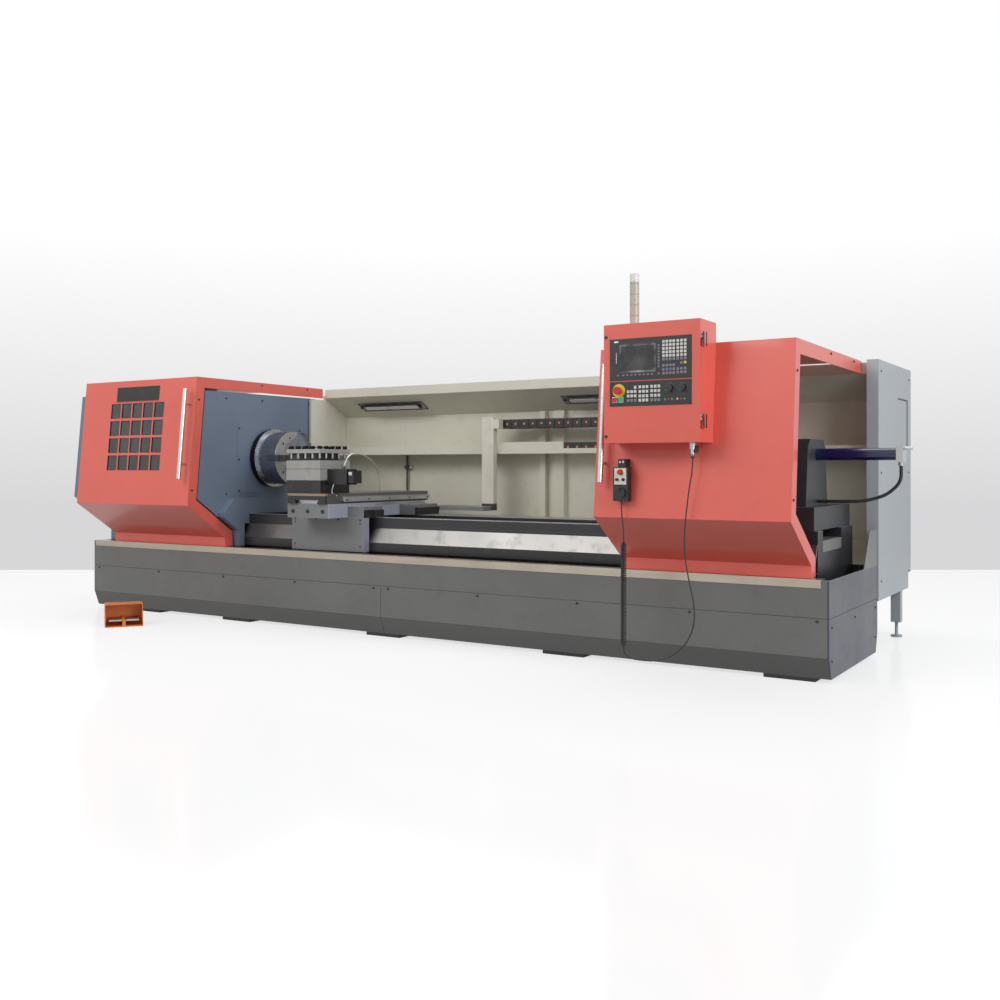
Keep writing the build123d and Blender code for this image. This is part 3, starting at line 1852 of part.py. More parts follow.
# Hand pendant on its hook plate against the right door, with two selectors
pendant_thickness = 44
hook_width = 42
hook_drop = 12
hook_lip = 17
selector_diameter = 16
selector_rise = 9
selector_height = 1028
selector_offset = 18
pendant_face = depth(pendant_front)
pendant_middle = station((pendant_start + pendant_end) / 2)
with BuildPart() as pendant_body:
    block(
        station(pendant_start),
        station(pendant_end),
        pendant_face,
        pendant_face + pendant_thickness,
        pendant_low,
        pendant_high,
    )
    along_x(
        [
            (pendant_face + hook_lip, pendant_high - hook_drop),
            (pendant_face + hook_lip, pendant_neck_high),
            (door_face(pendant_neck_high), pendant_neck_high),
            (door_face(pendant_high - hook_drop), pendant_high - hook_drop),
        ],
        pendant_middle - hook_width / 2,
        pendant_middle + hook_width / 2,
    )
    for offset in (-selector_offset, selector_offset):
        selector_spot = (pendant_middle + offset, pendant_face, selector_height)
        rod(selector_spot, (0, -1, 0), selector_diameter, selector_rise)
    pendant_holes = (
        (pendant_wheel_height, pendant_wheel_diameter / 4),
        (pendant_stop_height, pendant_stop_diameter / 2),
    )
    for height, size in pendant_holes:
        rod(
            (pendant_middle, pendant_face - 1, height),
            (0, 1, 0),
            size + 2 * cap_gap,
            pendant_thickness / 2,
            mode=Mode.SUBTRACT,
        )
finish(pendant_body, "pendant_body")

# Pulse wheel of the pendant with its finger knob
wheel_rise = 12
finger_knob = 12
stem_depth = 18
with BuildPart() as pendant_wheel:
    wheel_face = pendant_face - slide_gap - wheel_rise
    rod((pendant_middle, wheel_face, pendant_wheel_height), (0, 1, 0), pendant_wheel_diameter, wheel_rise)
    rod(
        (pendant_middle, wheel_face, pendant_wheel_height),
        (0, 1, 0),
        pendant_wheel_diameter / 4,
        wheel_rise + stem_depth,
    )
    rod(
        (pendant_middle, wheel_face - wheel_rise, pendant_wheel_height + pendant_wheel_diameter / 3),
        (0, 1, 0),
        finger_knob,
        wheel_rise,
    )
finish(pendant_wheel, "pendant_wheel")

# Stop button of the pendant
pendant_stop_rise = 9
pendant_stop_lift = push_travel + 1
with BuildPart() as pendant_stop:
    pendant_stop_face = pendant_face - pendant_stop_lift - pendant_stop_rise
    stop_spot = (pendant_middle, pendant_stop_face, pendant_stop_height)
    rod(stop_spot, (0, 1, 0), pendant_stop_diameter, pendant_stop_rise)
    rod(
        (pendant_middle, pendant_stop_face, pendant_stop_height),
        (0, 1, 0),
        pendant_stop_diameter / 2,
        pendant_stop_rise + stem_depth - push_travel,
    )
finish(pendant_stop, "pendant_stop")

# Pendant cord: plain lead at the pendant, then the curly stretch, then the loop up to the plug
coil_x = station(4728)
coil_top = 700
coil_low = 155
cord_y = depth(cord_depth)
with BuildPart() as pendant_lead:
    tube(
        [
            (pendant_middle, cord_y, pendant_low),
            (pendant_middle, cord_y, pendant_low - 68),
            (coil_x, cord_y, coil_top + 75),
            (coil_x, cord_y, coil_top),
        ],
        cord_diameter,
    )
finish(pendant_lead, "pendant_lead")

with BuildPart() as pendant_coil:
    rod((coil_x, cord_y, coil_low), (0, 0, 1), coil_diameter, coil_top - coil_low)
finish(pendant_coil, "pendant_coil")

with BuildPart() as pendant_cord:
    tube(
        [
            (coil_x, cord_y, coil_low),
            (coil_x, cord_y, 122),
            (station(4764), cord_y - 2, 98),
            (station(4830), cord_y - 3, 94),
            (station(4905), cord_y - 4, 97),
            (station(4978), cord_y - 3, 118),
            (station(5045), cord_y - 1, 164),
            (station(5096), cord_y, 232),
            (station(5121), cord_y + 2, 314),
            (station(5117), cord_y + 3, 400),
            (station(5098), cord_y + 3, 484),
            (station(5079), cord_y + 2, 570),
            (station(5067), cord_y, 657),
            (station(5066), cord_y - 1, 744),
            (station(5073), cord_y - 2, 831),
            (station(5084), cord_y - 2, 918),
            (station(5095), cord_y - 1, 1003),
            (station(plug_place), depth(plug_depth), 1078),
            (station(plug_place), depth(plug_depth), box_low - plug_length),
        ],
        cord_diameter,
    )
finish(pendant_cord, "pendant_cord")

# Foot switch on the floor: open fronted guard with a divider and the pin that both pedals turn on
turn = radians(pedal_guard_turn)
width_way = (cos(turn), sin(turn), 0)
back_way = (-sin(turn), cos(turn), 0)
guard_spot = (station(pedal_guard_x), depth(pedal_guard_depth))


def foot_place(across, behind, height):
    # Place of a point given across and behind the middle of the guard's mouth
    return (
        guard_spot[0] + width_way[0] * across + back_way[0] * behind,
        guard_spot[1] + width_way[1] * across + back_way[1] * behind,
        height,
    )


def foot_piece(points, start, end, mode=Mode.ADD):
    # Outline given as (behind, height), carried across the guard
    with BuildSketch(Plane(origin=foot_place(start, 0, 0), x_dir=back_way, z_dir=width_way)) as outline:
        with BuildLine():
            Polyline(*points, close=True)
        make_face()
    extrude(outline.sketch, amount=end - start, mode=mode)


guard_half = pedal_guard_width / 2
cheek_height = 46
hood_start = 52
divider_half = 11
divider_front = 24
divider_rise = 14
pin_place = 148
with BuildPart() as foot_switch_guard:
    foot_piece(
        [
            (0, 0),
            (0, cheek_height),
            (hood_start, pedal_guard_height),
            (pedal_guard_length, pedal_guard_height),
            (pedal_guard_length, 0),
        ],
        -guard_half,
        guard_half,
    )
    foot_piece(
        [
            (-1, pedal_guard_sheet),
            (-1, pedal_guard_height + 1),
            (hood_start, pedal_guard_height + 1),
            (hood_start, pedal_guard_height - pedal_guard_sheet),
            (pedal_guard_length - pedal_guard_sheet, pedal_guard_height - pedal_guard_sheet),
            (pedal_guard_length - pedal_guard_sheet, pedal_guard_sheet),
        ],
        -guard_half + pedal_guard_sheet,
        guard_half - pedal_guard_sheet,
        mode=Mode.SUBTRACT,
    )
    foot_piece(
        [
            (divider_front, pedal_guard_sheet),
            (divider_front, pedal_hinge_height),
            (pedal_guard_length - pedal_guard_sheet, pedal_hinge_height + divider_rise),
            (pedal_guard_length - pedal_guard_sheet, pedal_guard_sheet),
        ],
        -divider_half,
        divider_half,
    )
    rod(
        foot_place(-guard_half + pedal_guard_sheet / 2, pin_place, pedal_hinge_height),
        width_way,
        pedal_pin,
        pedal_guard_width - pedal_guard_sheet,
    )
finish(foot_switch_guard, "foot_switch_guard")

# Two pedals on the pin
pedal_barrel = 18
pedal_gap = 3
for name, side in (("left_pedal", -1), ("right_pedal", 1)):
    inner = divider_half + pedal_gap
    pedal_start = inner if side > 0 else -inner - pedal_width
    with BuildPart() as pedal:
        foot_piece(
            [
                (pin_place - pedal_length, pedal_hinge_height - pedal_thickness / 2),
                (pin_place - pedal_length, pedal_hinge_height + pedal_thickness / 2),
                (pin_place, pedal_hinge_height + pedal_thickness / 2),
                (pin_place, pedal_hinge_height - pedal_thickness / 2),
            ],
            pedal_start,
            pedal_start + pedal_width,
        )
        rod(foot_place(pedal_start, pin_place, pedal_hinge_height), width_way, pedal_barrel, pedal_width)
        rod(
            foot_place(pedal_start - 1, pin_place, pedal_hinge_height),
            width_way,
            pedal_pin + 2 * jaw_clearance,
            pedal_width + 2,
            mode=Mode.SUBTRACT,
        )
    finish(pedal, name)
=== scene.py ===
import bpy
import bmesh
import math
from mathutils import Matrix, Vector


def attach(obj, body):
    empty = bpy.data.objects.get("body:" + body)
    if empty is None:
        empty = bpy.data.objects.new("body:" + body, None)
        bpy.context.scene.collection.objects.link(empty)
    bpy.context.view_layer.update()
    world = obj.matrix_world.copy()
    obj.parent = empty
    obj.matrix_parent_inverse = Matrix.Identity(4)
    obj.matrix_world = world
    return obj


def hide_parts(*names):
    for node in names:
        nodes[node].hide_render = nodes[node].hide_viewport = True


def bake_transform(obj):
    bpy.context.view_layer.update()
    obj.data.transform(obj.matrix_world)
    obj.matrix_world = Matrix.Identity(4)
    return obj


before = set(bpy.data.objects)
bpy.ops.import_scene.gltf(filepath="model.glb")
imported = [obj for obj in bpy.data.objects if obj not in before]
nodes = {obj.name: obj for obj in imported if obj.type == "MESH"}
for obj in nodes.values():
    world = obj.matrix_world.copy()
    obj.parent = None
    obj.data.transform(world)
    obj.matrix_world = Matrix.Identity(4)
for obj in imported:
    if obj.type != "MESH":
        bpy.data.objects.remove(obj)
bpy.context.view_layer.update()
scene = bpy.context.scene
scene.view_settings.view_transform = "Standard"

# places are written as on the drawing: millimetres from the base's left end, front and floor
origin = {"x": 2.850, "y": 0.520}


def at(station, depth, height):
    return Vector((station / 1000 - origin["x"], depth / 1000 - origin["y"], height / 1000))


# camera at the photographer's place
view = {"place": (4.292, -5.92, 1.088), "turn": 32.1, "lens": 38.41, "shift": -0.032}
camera = bpy.data.objects.new("camera", bpy.data.cameras.new("camera"))
scene.collection.objects.link(camera)
scene.camera = camera
camera.location = view["place"]
camera.rotation_euler = (math.radians(90), 0, math.radians(view["turn"]))
camera.data.lens = view["lens"]
camera.data.shift_y = view["shift"]
print("camera placed")


# small helpers for node trees
def addNode(tree, kind, **values):
    node = tree.nodes.new(kind)
    for name, value in values.items():
        setattr(node, name, value)
    return node


def feed(tree, socket, value):
    # an input takes another node's output or a plain value
    if hasattr(value, "is_output"):
        tree.links.new(value, socket)
    elif socket.type == "RGBA":
        socket.default_value = (*value, 1)
    else:
        socket.default_value = value


def mathStep(tree, operation, a, b=None, clamp=False):
    node = addNode(tree, "ShaderNodeMath", operation=operation, use_clamp=clamp)
    feed(tree, node.inputs[0], a)
    if b is not None:
        feed(tree, node.inputs[1], b)
    return node.outputs[0]


def mixColor(tree, share, a, b):
    node = addNode(tree, "ShaderNodeMix", data_type="RGBA")
    for index, value in ((0, share), (6, a), (7, b)):
        feed(tree, node.inputs[index], value)
    return node.outputs[2]


def newGroup(name, inputs, outputs):
    tree = bpy.data.node_groups.new(name, "ShaderNodeTree")
    for label, kind, value in inputs:
        socket = tree.interface.new_socket(label, in_out="INPUT", socket_type=kind)
        if value is not None:
            socket.default_value = value
    for label, kind in outputs:
        tree.interface.new_socket(label, in_out="OUTPUT", socket_type=kind)
    start = addNode(tree, "NodeGroupInput")
    end = addNode(tree, "NodeGroupOutput")
    return tree, start.outputs, end.inputs


# shared effect: cloudy colour change, fine speckle and a soft peel height for sprayed paint
def makePaintGroup():
    tree, given, out = newGroup(
        "sprayedPaint",
        [
            ("Color", "NodeSocketColor", (0.5, 0.5, 0.5, 1)),
            ("Tone", "NodeSocketFloat", 0.08),
            ("Cloud Size", "NodeSocketFloat", 3.0),
            ("Peel Size", "NodeSocketFloat", 380.0),
            ("Roughness", "NodeSocketFloat", 0.4),
            ("Grime", "NodeSocketFloat", 0.1),
        ],
        [("Color", "NodeSocketColor"), ("Roughness", "NodeSocketFloat"), ("Height", "NodeSocketFloat")],
    )
    spot = addNode(tree, "ShaderNodeTexCoord").outputs["Object"]
    cloud = addNode(tree, "ShaderNodeTexNoise")
    cloud.inputs["Detail"].default_value = 4
    peel = addNode(tree, "ShaderNodeTexNoise")
    peel.inputs["Detail"].default_value = 1
    dirt = addNode(tree, "ShaderNodeTexNoise")
    dirt.inputs["Scale"].default_value = 14
    dirt.inputs["Detail"].default_value = 6
    for noise in (cloud, peel, dirt):
        tree.links.new(spot, noise.inputs["Vector"])
    tree.links.new(given["Cloud Size"], cloud.inputs["Scale"])
    tree.links.new(given["Peel Size"], peel.inputs["Scale"])
    swing = mathStep(tree, "SUBTRACT", cloud.outputs[0], 0.5)
    change = mathStep(tree, "MULTIPLY", swing, given["Tone"])
    lift = mathStep(tree, "ADD", mathStep(tree, "MULTIPLY", change, 4.0), 1.0)
    shade = addNode(tree, "ShaderNodeVectorMath", operation="SCALE")
    tree.links.new(given["Color"], shade.inputs[0])
    tree.links.new(lift, shade.inputs["Scale"])
    spots = mathStep(tree, "MULTIPLY", mathStep(tree, "SUBTRACT", dirt.outputs[0], 0.56, True), 5.0, True)
    share = mathStep(tree, "MULTIPLY", spots, given["Grime"])
    tree.links.new(mixColor(tree, share, shade.outputs[0], (0.09, 0.08, 0.07)), out["Color"])
    rough = mathStep(tree, "ADD", given["Roughness"], mathStep(tree, "MULTIPLY", swing, 0.25))
    tree.links.new(mathStep(tree, "ADD", rough, mathStep(tree, "MULTIPLY", share, 0.3)), out["Roughness"])
    tree.links.new(peel.outputs[0], out["Height"])
    return tree


# shared effect: rounded edges for the light, and a mask of those edges for wear
def makeEdgeGroup():
    tree, given, out = newGroup(
        "edgeWear",
        [("Radius", "NodeSocketFloat", 0.003), ("Sharpness", "NodeSocketFloat", 8.0)],
        [("Normal", "NodeSocketVector"), ("Mask", "NodeSocketFloat")],
    )
    round_ = addNode(tree, "ShaderNodeBevel", samples=4)
    tree.links.new(given["Radius"], round_.inputs["Radius"])
    plain = addNode(tree, "ShaderNodeNewGeometry")
    dot = addNode(tree, "ShaderNodeVectorMath", operation="DOT_PRODUCT")
    tree.links.new(round_.outputs[0], dot.inputs[0])
    tree.links.new(plain.outputs["Normal"], dot.inputs[1])
    gap = mathStep(tree, "SUBTRACT", 1.0, dot.outputs["Value"])
    tree.links.new(mathStep(tree, "MULTIPLY", gap, given["Sharpness"], True), out["Mask"])
    tree.links.new(round_.outputs[0], out["Normal"])
    return tree


# shared effect: fine lines along one direction, as on ground or brushed metal
def makeGrainGroup():
    tree, given, out = newGroup(
        "metalGrain",
        [
            ("Color", "NodeSocketColor", (0.6, 0.6, 0.6, 1)),
            ("Stretch", "NodeSocketVector", (2.0, 300.0, 300.0)),
            ("Contrast", "NodeSocketFloat", 0.25),
            ("Roughness", "NodeSocketFloat", 0.3),
        ],
        [("Color", "NodeSocketColor"), ("Roughness", "NodeSocketFloat"), ("Height", "NodeSocketFloat")],
    )
    spot = addNode(tree, "ShaderNodeTexCoord").outputs["Object"]
    scale = addNode(tree, "ShaderNodeVectorMath", operation="MULTIPLY")
    tree.links.new(spot, scale.inputs[0])
    tree.links.new(given["Stretch"], scale.inputs[1])
    lines = addNode(tree, "ShaderNodeTexNoise")
    lines.inputs["Scale"].default_value = 1
    lines.inputs["Detail"].default_value = 3
    tree.links.new(scale.outputs[0], lines.inputs["Vector"])
    cloud = addNode(tree, "ShaderNodeTexNoise")
    cloud.inputs["Scale"].default_value = 6
    tree.links.new(spot, cloud.inputs["Vector"])
    fine = mathStep(tree, "MULTIPLY", lines.outputs[0], 0.7)
    both = mathStep(tree, "ADD", fine, mathStep(tree, "MULTIPLY", cloud.outputs[0], 0.3))
    swing = mathStep(tree, "MULTIPLY", mathStep(tree, "SUBTRACT", both, 0.5), given["Contrast"])
    shade = addNode(tree, "ShaderNodeVectorMath", operation="SCALE")
    tree.links.new(given["Color"], shade.inputs[0])
    tree.links.new(mathStep(tree, "ADD", mathStep(tree, "MULTIPLY", swing, 3.0), 1.0), shade.inputs["Scale"])
    tree.links.new(shade.outputs[0], out["Color"])
    tree.links.new(mathStep(tree, "ADD", given["Roughness"], swing), out["Roughness"])
    tree.links.new(lines.outputs[0], out["Height"])
    return tree


# shared effect: a mask that is 1 inside a box given by its two corners
def makeZoneGroup():
    tree, given, out = newGroup(
        "insideBox",
        [("Low", "NodeSocketVector", (0, 0, 0)), ("High", "NodeSocketVector", (1, 1, 1))],
        [("Mask", "NodeSocketFloat")],
    )
    spot = addNode(tree, "ShaderNodeSeparateXYZ")
    tree.links.new(addNode(tree, "ShaderNodeTexCoord").outputs["Object"], spot.inputs[0])
    low = addNode(tree, "ShaderNodeSeparateXYZ")
    high = addNode(tree, "ShaderNodeSeparateXYZ")
    tree.links.new(given["Low"], low.inputs[0])
    tree.links.new(given["High"], high.inputs[0])
    mask = None
    for axis in range(3):
        above = mathStep(tree, "GREATER_THAN", spot.outputs[axis], low.outputs[axis])
        below = mathStep(tree, "LESS_THAN", spot.outputs[axis], high.outputs[axis])
        both = mathStep(tree, "MULTIPLY", above, below)
        mask = both if mask is None else mathStep(tree, "MULTIPLY", mask, both)
    tree.links.new(mask, out["Mask"])
    return tree


paintGroup = makePaintGroup()
edgeGroup = makeEdgeGroup()
grainGroup = makeGrainGroup()
zoneGroup = makeZoneGroup()


def newMaterial(name):
    material = bpy.data.materials.new(name)
    material.use_nodes = True
    tree = material.node_tree
    shader = tree.nodes["Principled BSDF"]
    return material, tree, shader


def finishSurface(tree, shader, source, edgeRadius, bump, wearColor=None, wear=0.5):
    # joins a colour group to the shader with bump, softened edges and worn edges
    tree.links.new(source.outputs["Roughness"], shader.inputs["Roughness"])
    color = source.outputs["Color"]
    relief = addNode(tree, "ShaderNodeBump")
    relief.inputs["Strength"].default_value = bump
    relief.inputs["Distance"].default_value = 0.0004
    tree.links.new(source.outputs["Height"], relief.inputs["Height"])
    if edgeRadius:
        edge = addNode(tree, "ShaderNodeGroup", node_tree=edgeGroup)
        edge.inputs["Radius"].default_value = edgeRadius
        tree.links.new(edge.outputs["Normal"], relief.inputs["Normal"])
        if wearColor:
            share = mathStep(tree, "MULTIPLY", edge.outputs["Mask"], wear, True)
            color = mixColor(tree, share, color, wearColor)
    tree.links.new(color, shader.inputs["Base Color"])
    tree.links.new(relief.outputs[0], shader.inputs["Normal"])


def zoneMask(tree, low, high):
    # low and high are drawing places in millimetres
    zone = addNode(tree, "ShaderNodeGroup", node_tree=zoneGroup)
    zone.inputs["Low"].default_value = at(*low)
    zone.inputs["High"].default_value = at(*high)
    return zone.outputs["Mask"]


def setZones(tree, shader, socket, color, zones, bare):
    # other colours inside boxes of the drawing, some of them painted shade and painted highlights, and bare metal
    # inside others
    for low, high, other in zones:
        color = mixColor(tree, zoneMask(tree, low, high), color, other)
    shine = None
    for low, high, other in bare:
        mask = zoneMask(tree, low, high)
        color = mixColor(tree, mask, color, other)
        shine = mask if shine is None else mathStep(tree, "MAXIMUM", shine, mask)
    feed(tree, socket, color)
    if shine:
        tree.links.new(shine, shader.inputs["Metallic"])


def paint(color, roughness=0.4, tone=0.08, grime=0.1, peel=0.12, edge=0.003, wearColor=None, wear=0.5,
          coat=0.0, cloud=3.0, zones=(), bare=()):
    material, tree, shader = newMaterial("finish")
    source = addNode(tree, "ShaderNodeGroup", node_tree=paintGroup)
    setZones(tree, shader, source.inputs["Color"], color, zones, bare)
    source.inputs["Tone"].default_value = tone
    source.inputs["Cloud Size"].default_value = cloud
    source.inputs["Roughness"].default_value = roughness
    source.inputs["Grime"].default_value = grime
    shader.inputs["Coat Weight"].default_value = coat
    finishSurface(tree, shader, source, edge, peel, wearColor, wear)
    return material


def metal(color, roughness=0.3, stretch=(2, 300, 300), contrast=0.2, bump=0.1, edge=0.002, zones=()):
    material, tree, shader = newMaterial("finish")
    source = addNode(tree, "ShaderNodeGroup", node_tree=grainGroup)
    setZones(tree, shader, source.inputs["Color"], color, zones, ())
    source.inputs["Stretch"].default_value = stretch
    source.inputs["Contrast"].default_value = contrast
    source.inputs["Roughness"].default_value = roughness
    shader.inputs["Metallic"].default_value = 1
    finishSurface(tree, shader, source, edge, bump)
    return material


def dress(finish, *names):
    material = finishes[finish]
    for name in names:
        node = nodes[name]
        if not node.material_slots:
            node.data.materials.append(material)
        node.material_slots[0].material = material


finishes = {
    "baseGrey": paint(
        (0.148, 0.149, 0.143), 0.36, tone=0.10, grime=0.25, wearColor=(0.3, 0.3, 0.29), wear=0.4,
        zones=[
            # end face: darker bluish grey, painted shade with a painted bluish reflection
            ((5690, -50, 0), (5720, 1100, 519), (0.048, 0.054, 0.070)),
            # toe along the bottom front: darker grey, painted shade in the recess
            ((-10, -50, 0), (5689, 41, 131), (0.085, 0.086, 0.082)),
        ],
    ),
    "padBlack": paint((0.02, 0.02, 0.02), 0.7, grime=0.2),
    "screwBlack": metal((0.06, 0.06, 0.06), 0.35),
    "screwBright": metal((0.55, 0.55, 0.56), 0.3),
    "railSteel": metal((0.42, 0.37, 0.30), 0.34, contrast=0.25),
    "handleSteel": metal((0.62, 0.61, 0.59), 0.22, stretch=(300, 300, 3), contrast=0.15),
    "coverSteel": paint(
        (0.02, 0.02, 0.022), 0.34, tone=0.05, grime=0.25, peel=0.05,
        bare=[((0, 0, 590), (6000, 1000, 800), (0.20, 0.195, 0.185))],
    ),
    "bedIron": paint(
        (0.022, 0.022, 0.025), 0.36, tone=0.12, grime=0.15,
        zones=[((640, 330, 640), (5600, 700, 754), (0.20, 0.195, 0.175))],
        bare=[((640, 200, 754.2), (5600, 1000, 760), (0.42, 0.42, 0.42))],
    ),
    "castIron": paint((0.05, 0.052, 0.056), 0.45, tone=0.12, grime=0.15),
    "coverGrey": paint((0.165, 0.205, 0.275), 0.38, tone=0.12, grime=0.12, cloud=1.4),
    "motorBlack": paint((0.018, 0.018, 0.020), 0.32, grime=0.1, edge=0.002),
    "guardCream": paint(
        (0.68, 0.655, 0.545), 0.42, tone=0.06, grime=0.1, cloud=1.5,
        zones=[((2030, 1000, 600), (2090, 1346, 1187), (0.07, 0.065, 0.05))],
    ),
    "chainBlack": paint((0.010, 0.010, 0.011), 0.38, grime=0.1, edge=0.002),
    "dotOrange": paint((0.85, 0.27, 0.03), 0.4, grime=0.1, edge=0),
    "cabinetGrey": paint((0.40, 0.425, 0.44), 0.36, tone=0.06, grime=0.08, cloud=1.2),
    "lampGrey": paint((0.40, 0.39, 0.34), 0.45),
    "lampLens": paint((0.80, 0.80, 0.78), 0.2, tone=0.03, grime=0.05, edge=0),
    "switchOrange": paint((0.80, 0.23, 0.035), 0.35, grime=0.2, wearColor=(0.5, 0.4, 0.3), wear=0.5),
    "panelWhite": paint((0.74, 0.72, 0.66), 0.38, tone=0.05, grime=0.1, edge=0.0008),
    "pedalGrey": metal((0.42, 0.43, 0.46), 0.35, stretch=(120, 120, 120), contrast=0.35, bump=0.5),
    "machinedSteel": metal((0.50, 0.50, 0.51), 0.26, stretch=(260, 260, 260), contrast=0.12),
    "chuckSteel": metal(
        (0.56, 0.58, 0.64), 0.26, stretch=(500, 60, 60), contrast=0.15,
        zones=[
            # back of the chuck near black: painted shadow ring between the chuck and the wall
            ((1380, 200, 900), (1447, 800, 1400), (0.035, 0.035, 0.04)),
            ((1447, 200, 900), (1628, 800, 1400), (0.30, 0.30, 0.32)),
        ],
    ),
    "jawSteel": metal((0.20, 0.20, 0.21), 0.3, stretch=(200, 200, 200), contrast=0.2),
    "darkSteel": metal((0.10, 0.10, 0.11), 0.4),
    "doorRed": paint((0.78, 0.135, 0.098), 0.34, tone=0.06, grime=0.05, coat=0.2, cloud=1.1),
    "boxRed": paint(
        (0.78, 0.135, 0.098), 0.34, tone=0.05, grime=0.04, coat=0.2,
        # right side of the box paler pink: painted highlight from the light on the right
        zones=[((5203.5, -440, 1140), (5206, -200, 1840), (0.84, 0.27, 0.235))],
        bare=[((5070, -380, 1140), (5150, -300, 1214.6), (0.55, 0.55, 0.56))],
    ),
    "hingeBlack": paint((0.02, 0.02, 0.02), 0.4),
    # strong cloudy tone on the dark panes: painted reflections
    "windowPane": paint((0.022, 0.024, 0.026), 0.10, tone=0.9, grime=0.3, peel=0.02, cloud=7.0, coat=0.5),
    "endPane": paint((0.045, 0.058, 0.080), 0.12, tone=0.7, grime=0.2, peel=0.02, cloud=3.0, coat=0.4),
    "plateBlack": paint((0.010, 0.010, 0.010), 0.5, tone=0.1, grime=0.2),
    "lineRed": paint((0.55, 0.03, 0.03), 0.35, grime=0.1, edge=0),
    "towerLens": paint(
        (0.52, 0.50, 0.40), 0.3, tone=0.1, grime=0.15, coat=0.3,
        zones=[
            ((4700, -400, 1820), (4850, -200, 1840), (0.05, 0.05, 0.05)),
            ((4700, -400, 2062), (4850, -200, 2110), (0.80, 0.79, 0.74)),
        ],
    ),
    "plasticBlack": paint((0.014, 0.014, 0.016), 0.36, edge=0.0015),
    "panelBlack": paint((0.011, 0.011, 0.012), 0.42, tone=0.1, grime=0.15, edge=0.0008),
    # strong cloudy tone on the screen glass: a painted reflection
    "screenGlass": paint(
        (0.030, 0.029, 0.028), 0.05, tone=1.4, grime=0, peel=0.0, cloud=13.0, coat=0.7, edge=0,
        zones=[
            ((4755, -445, 1574), (4764, -440, 1718), (0.16, 0.16, 0.15)),
            ((4946, -445, 1574), (4955, -440, 1718), (0.16, 0.16, 0.15)),
            ((4764, -445, 1709), (4946, -440, 1718), (0.16, 0.16, 0.15)),
            ((4764, -445, 1574), (4946, -440, 1583), (0.22, 0.22, 0.21)),
        ],
    ),
    "keyWhite": paint((0.66, 0.65, 0.61), 0.4, tone=0.3, cloud=160.0, grime=0.2, edge=0.0005),
    "keyGrey": paint((0.20, 0.20, 0.22), 0.4, tone=0.4, cloud=160.0, grime=0.2, edge=0.0005),
    "keyViolet": paint((0.16, 0.12, 0.26), 0.4, tone=0.2, grime=0.1, edge=0.0005),
    "keyYellow": paint((0.78, 0.55, 0.05), 0.35, grime=0.05, edge=0.0005),
    "cordBlack": paint((0.012, 0.012, 0.012), 0.5, edge=0),
    "stopRed": paint((0.62, 0.012, 0.016), 0.22, grime=0, edge=0.002, coat=0.3),
    "startGreen": paint((0.03, 0.50, 0.13), 0.25, grime=0, edge=0.002),
    "castingGrey": paint(
        (0.20, 0.205, 0.205), 0.36, tone=0.12, grime=0.2, wearColor=(0.42, 0.42, 0.42),
        zones=[
            ((2905, 1080, 700), (3060, 1260, 1470), (0.68, 0.655, 0.545)),
            ((1950, 100, 754), (1971, 1000, 808), (0.015, 0.015, 0.015)),
            ((2609, 100, 754), (2630, 1000, 808), (0.015, 0.015, 0.015)),
            # rear arm of the saddle near black: painted shade
            ((2480, 1060, 750), (3060, 1260, 830), (0.045, 0.045, 0.045)),
            # right faces of the apron and the bridge paler and bluish: painted highlight of the cool light from the
            # right
            ((2608.5, 100, 520), (2613, 1000, 754), (0.33, 0.335, 0.41)),
            ((2468, -80, 755), (2473, 1000, 850), (0.42, 0.45, 0.53)),
        ],
        bare=[((2150, -70, 851), (2430, 1010, 880), (0.42, 0.42, 0.43))],
    ),
    "slideGrey": paint(
        (0.105, 0.103, 0.098), 0.38, tone=0.12, grime=0.2, wearColor=(0.35, 0.35, 0.34),
        zones=[
            ((2000, -100, 845), (2700, -70, 903), (0.014, 0.014, 0.014)),
            ((2000, -100, 903), (2456, -60, 920), (0.33, 0.24, 0.13)),
        ],
        bare=[((2456, 0, 845), (2500, 1100, 920), (0.55, 0.57, 0.62))],
    ),
    "turretGrey": paint(
        (0.35, 0.345, 0.325), 0.32, tone=0.15, grime=0.25, wearColor=(0.55, 0.55, 0.54),
        zones=[
            ((2050, -100, 900), (2450, 300, 1006), (0.012, 0.012, 0.013)),
            # tool slot round the head near black: painted shade inside the recess
            ((2050, -100, 1138.5), (2450, 300, 1187), (0.035, 0.035, 0.035)),
            ((2050, -100, 1079), (2450, 300, 1083), (0.03, 0.03, 0.03)),
        ],
    ),
    "boltSteel": metal(
        (0.40, 0.40, 0.40), 0.3,
        zones=[((2050, -100, 1214), (2450, 300, 1250), (0.025, 0.025, 0.027))],
    ),
    "tailstockGrey": paint((0.026, 0.029, 0.032), 0.42, grime=0.15, wearColor=(0.2, 0.2, 0.2)),
    "cylinderBlue": paint(
        (0.004, 0.008, 0.072), 0.24, grime=0, coat=0.4, edge=0,
        bare=[((5924, 400, 1050), (6100, 600, 1250), (0.50, 0.50, 0.50))],
    ),
    "trimSteel": metal((0.60, 0.62, 0.67), 0.28, contrast=0.15),
}
for name, material in finishes.items():
    material.name = name
dress("baseGrey", "plinth", "chip_tray")
dress("padBlack", "levelling_pads", "drive_belt")
dress("screwBlack", "panel_screws")
dress("boltSteel", "tool_bolts")
dress("railSteel", "door_rail")
dress("coverSteel", "way_cover")
dress("handleSteel", "left_handle", "right_handle")
dress("bedIron", "bed_casting")
dress("castIron", "headstock_casting")
dress("machinedSteel", "spindle_bearings", "spindle_shaft", "motor_pulley", "quill", "live_centre")
dress("chuckSteel", "chuck_body")
dress("jawSteel", "jaw_1", "jaw_2", "jaw_3")
dress("coverGrey", "headstock_cover")
dress("motorBlack", "main_motor", "turret_motor")
dress("guardCream", "rear_guard")
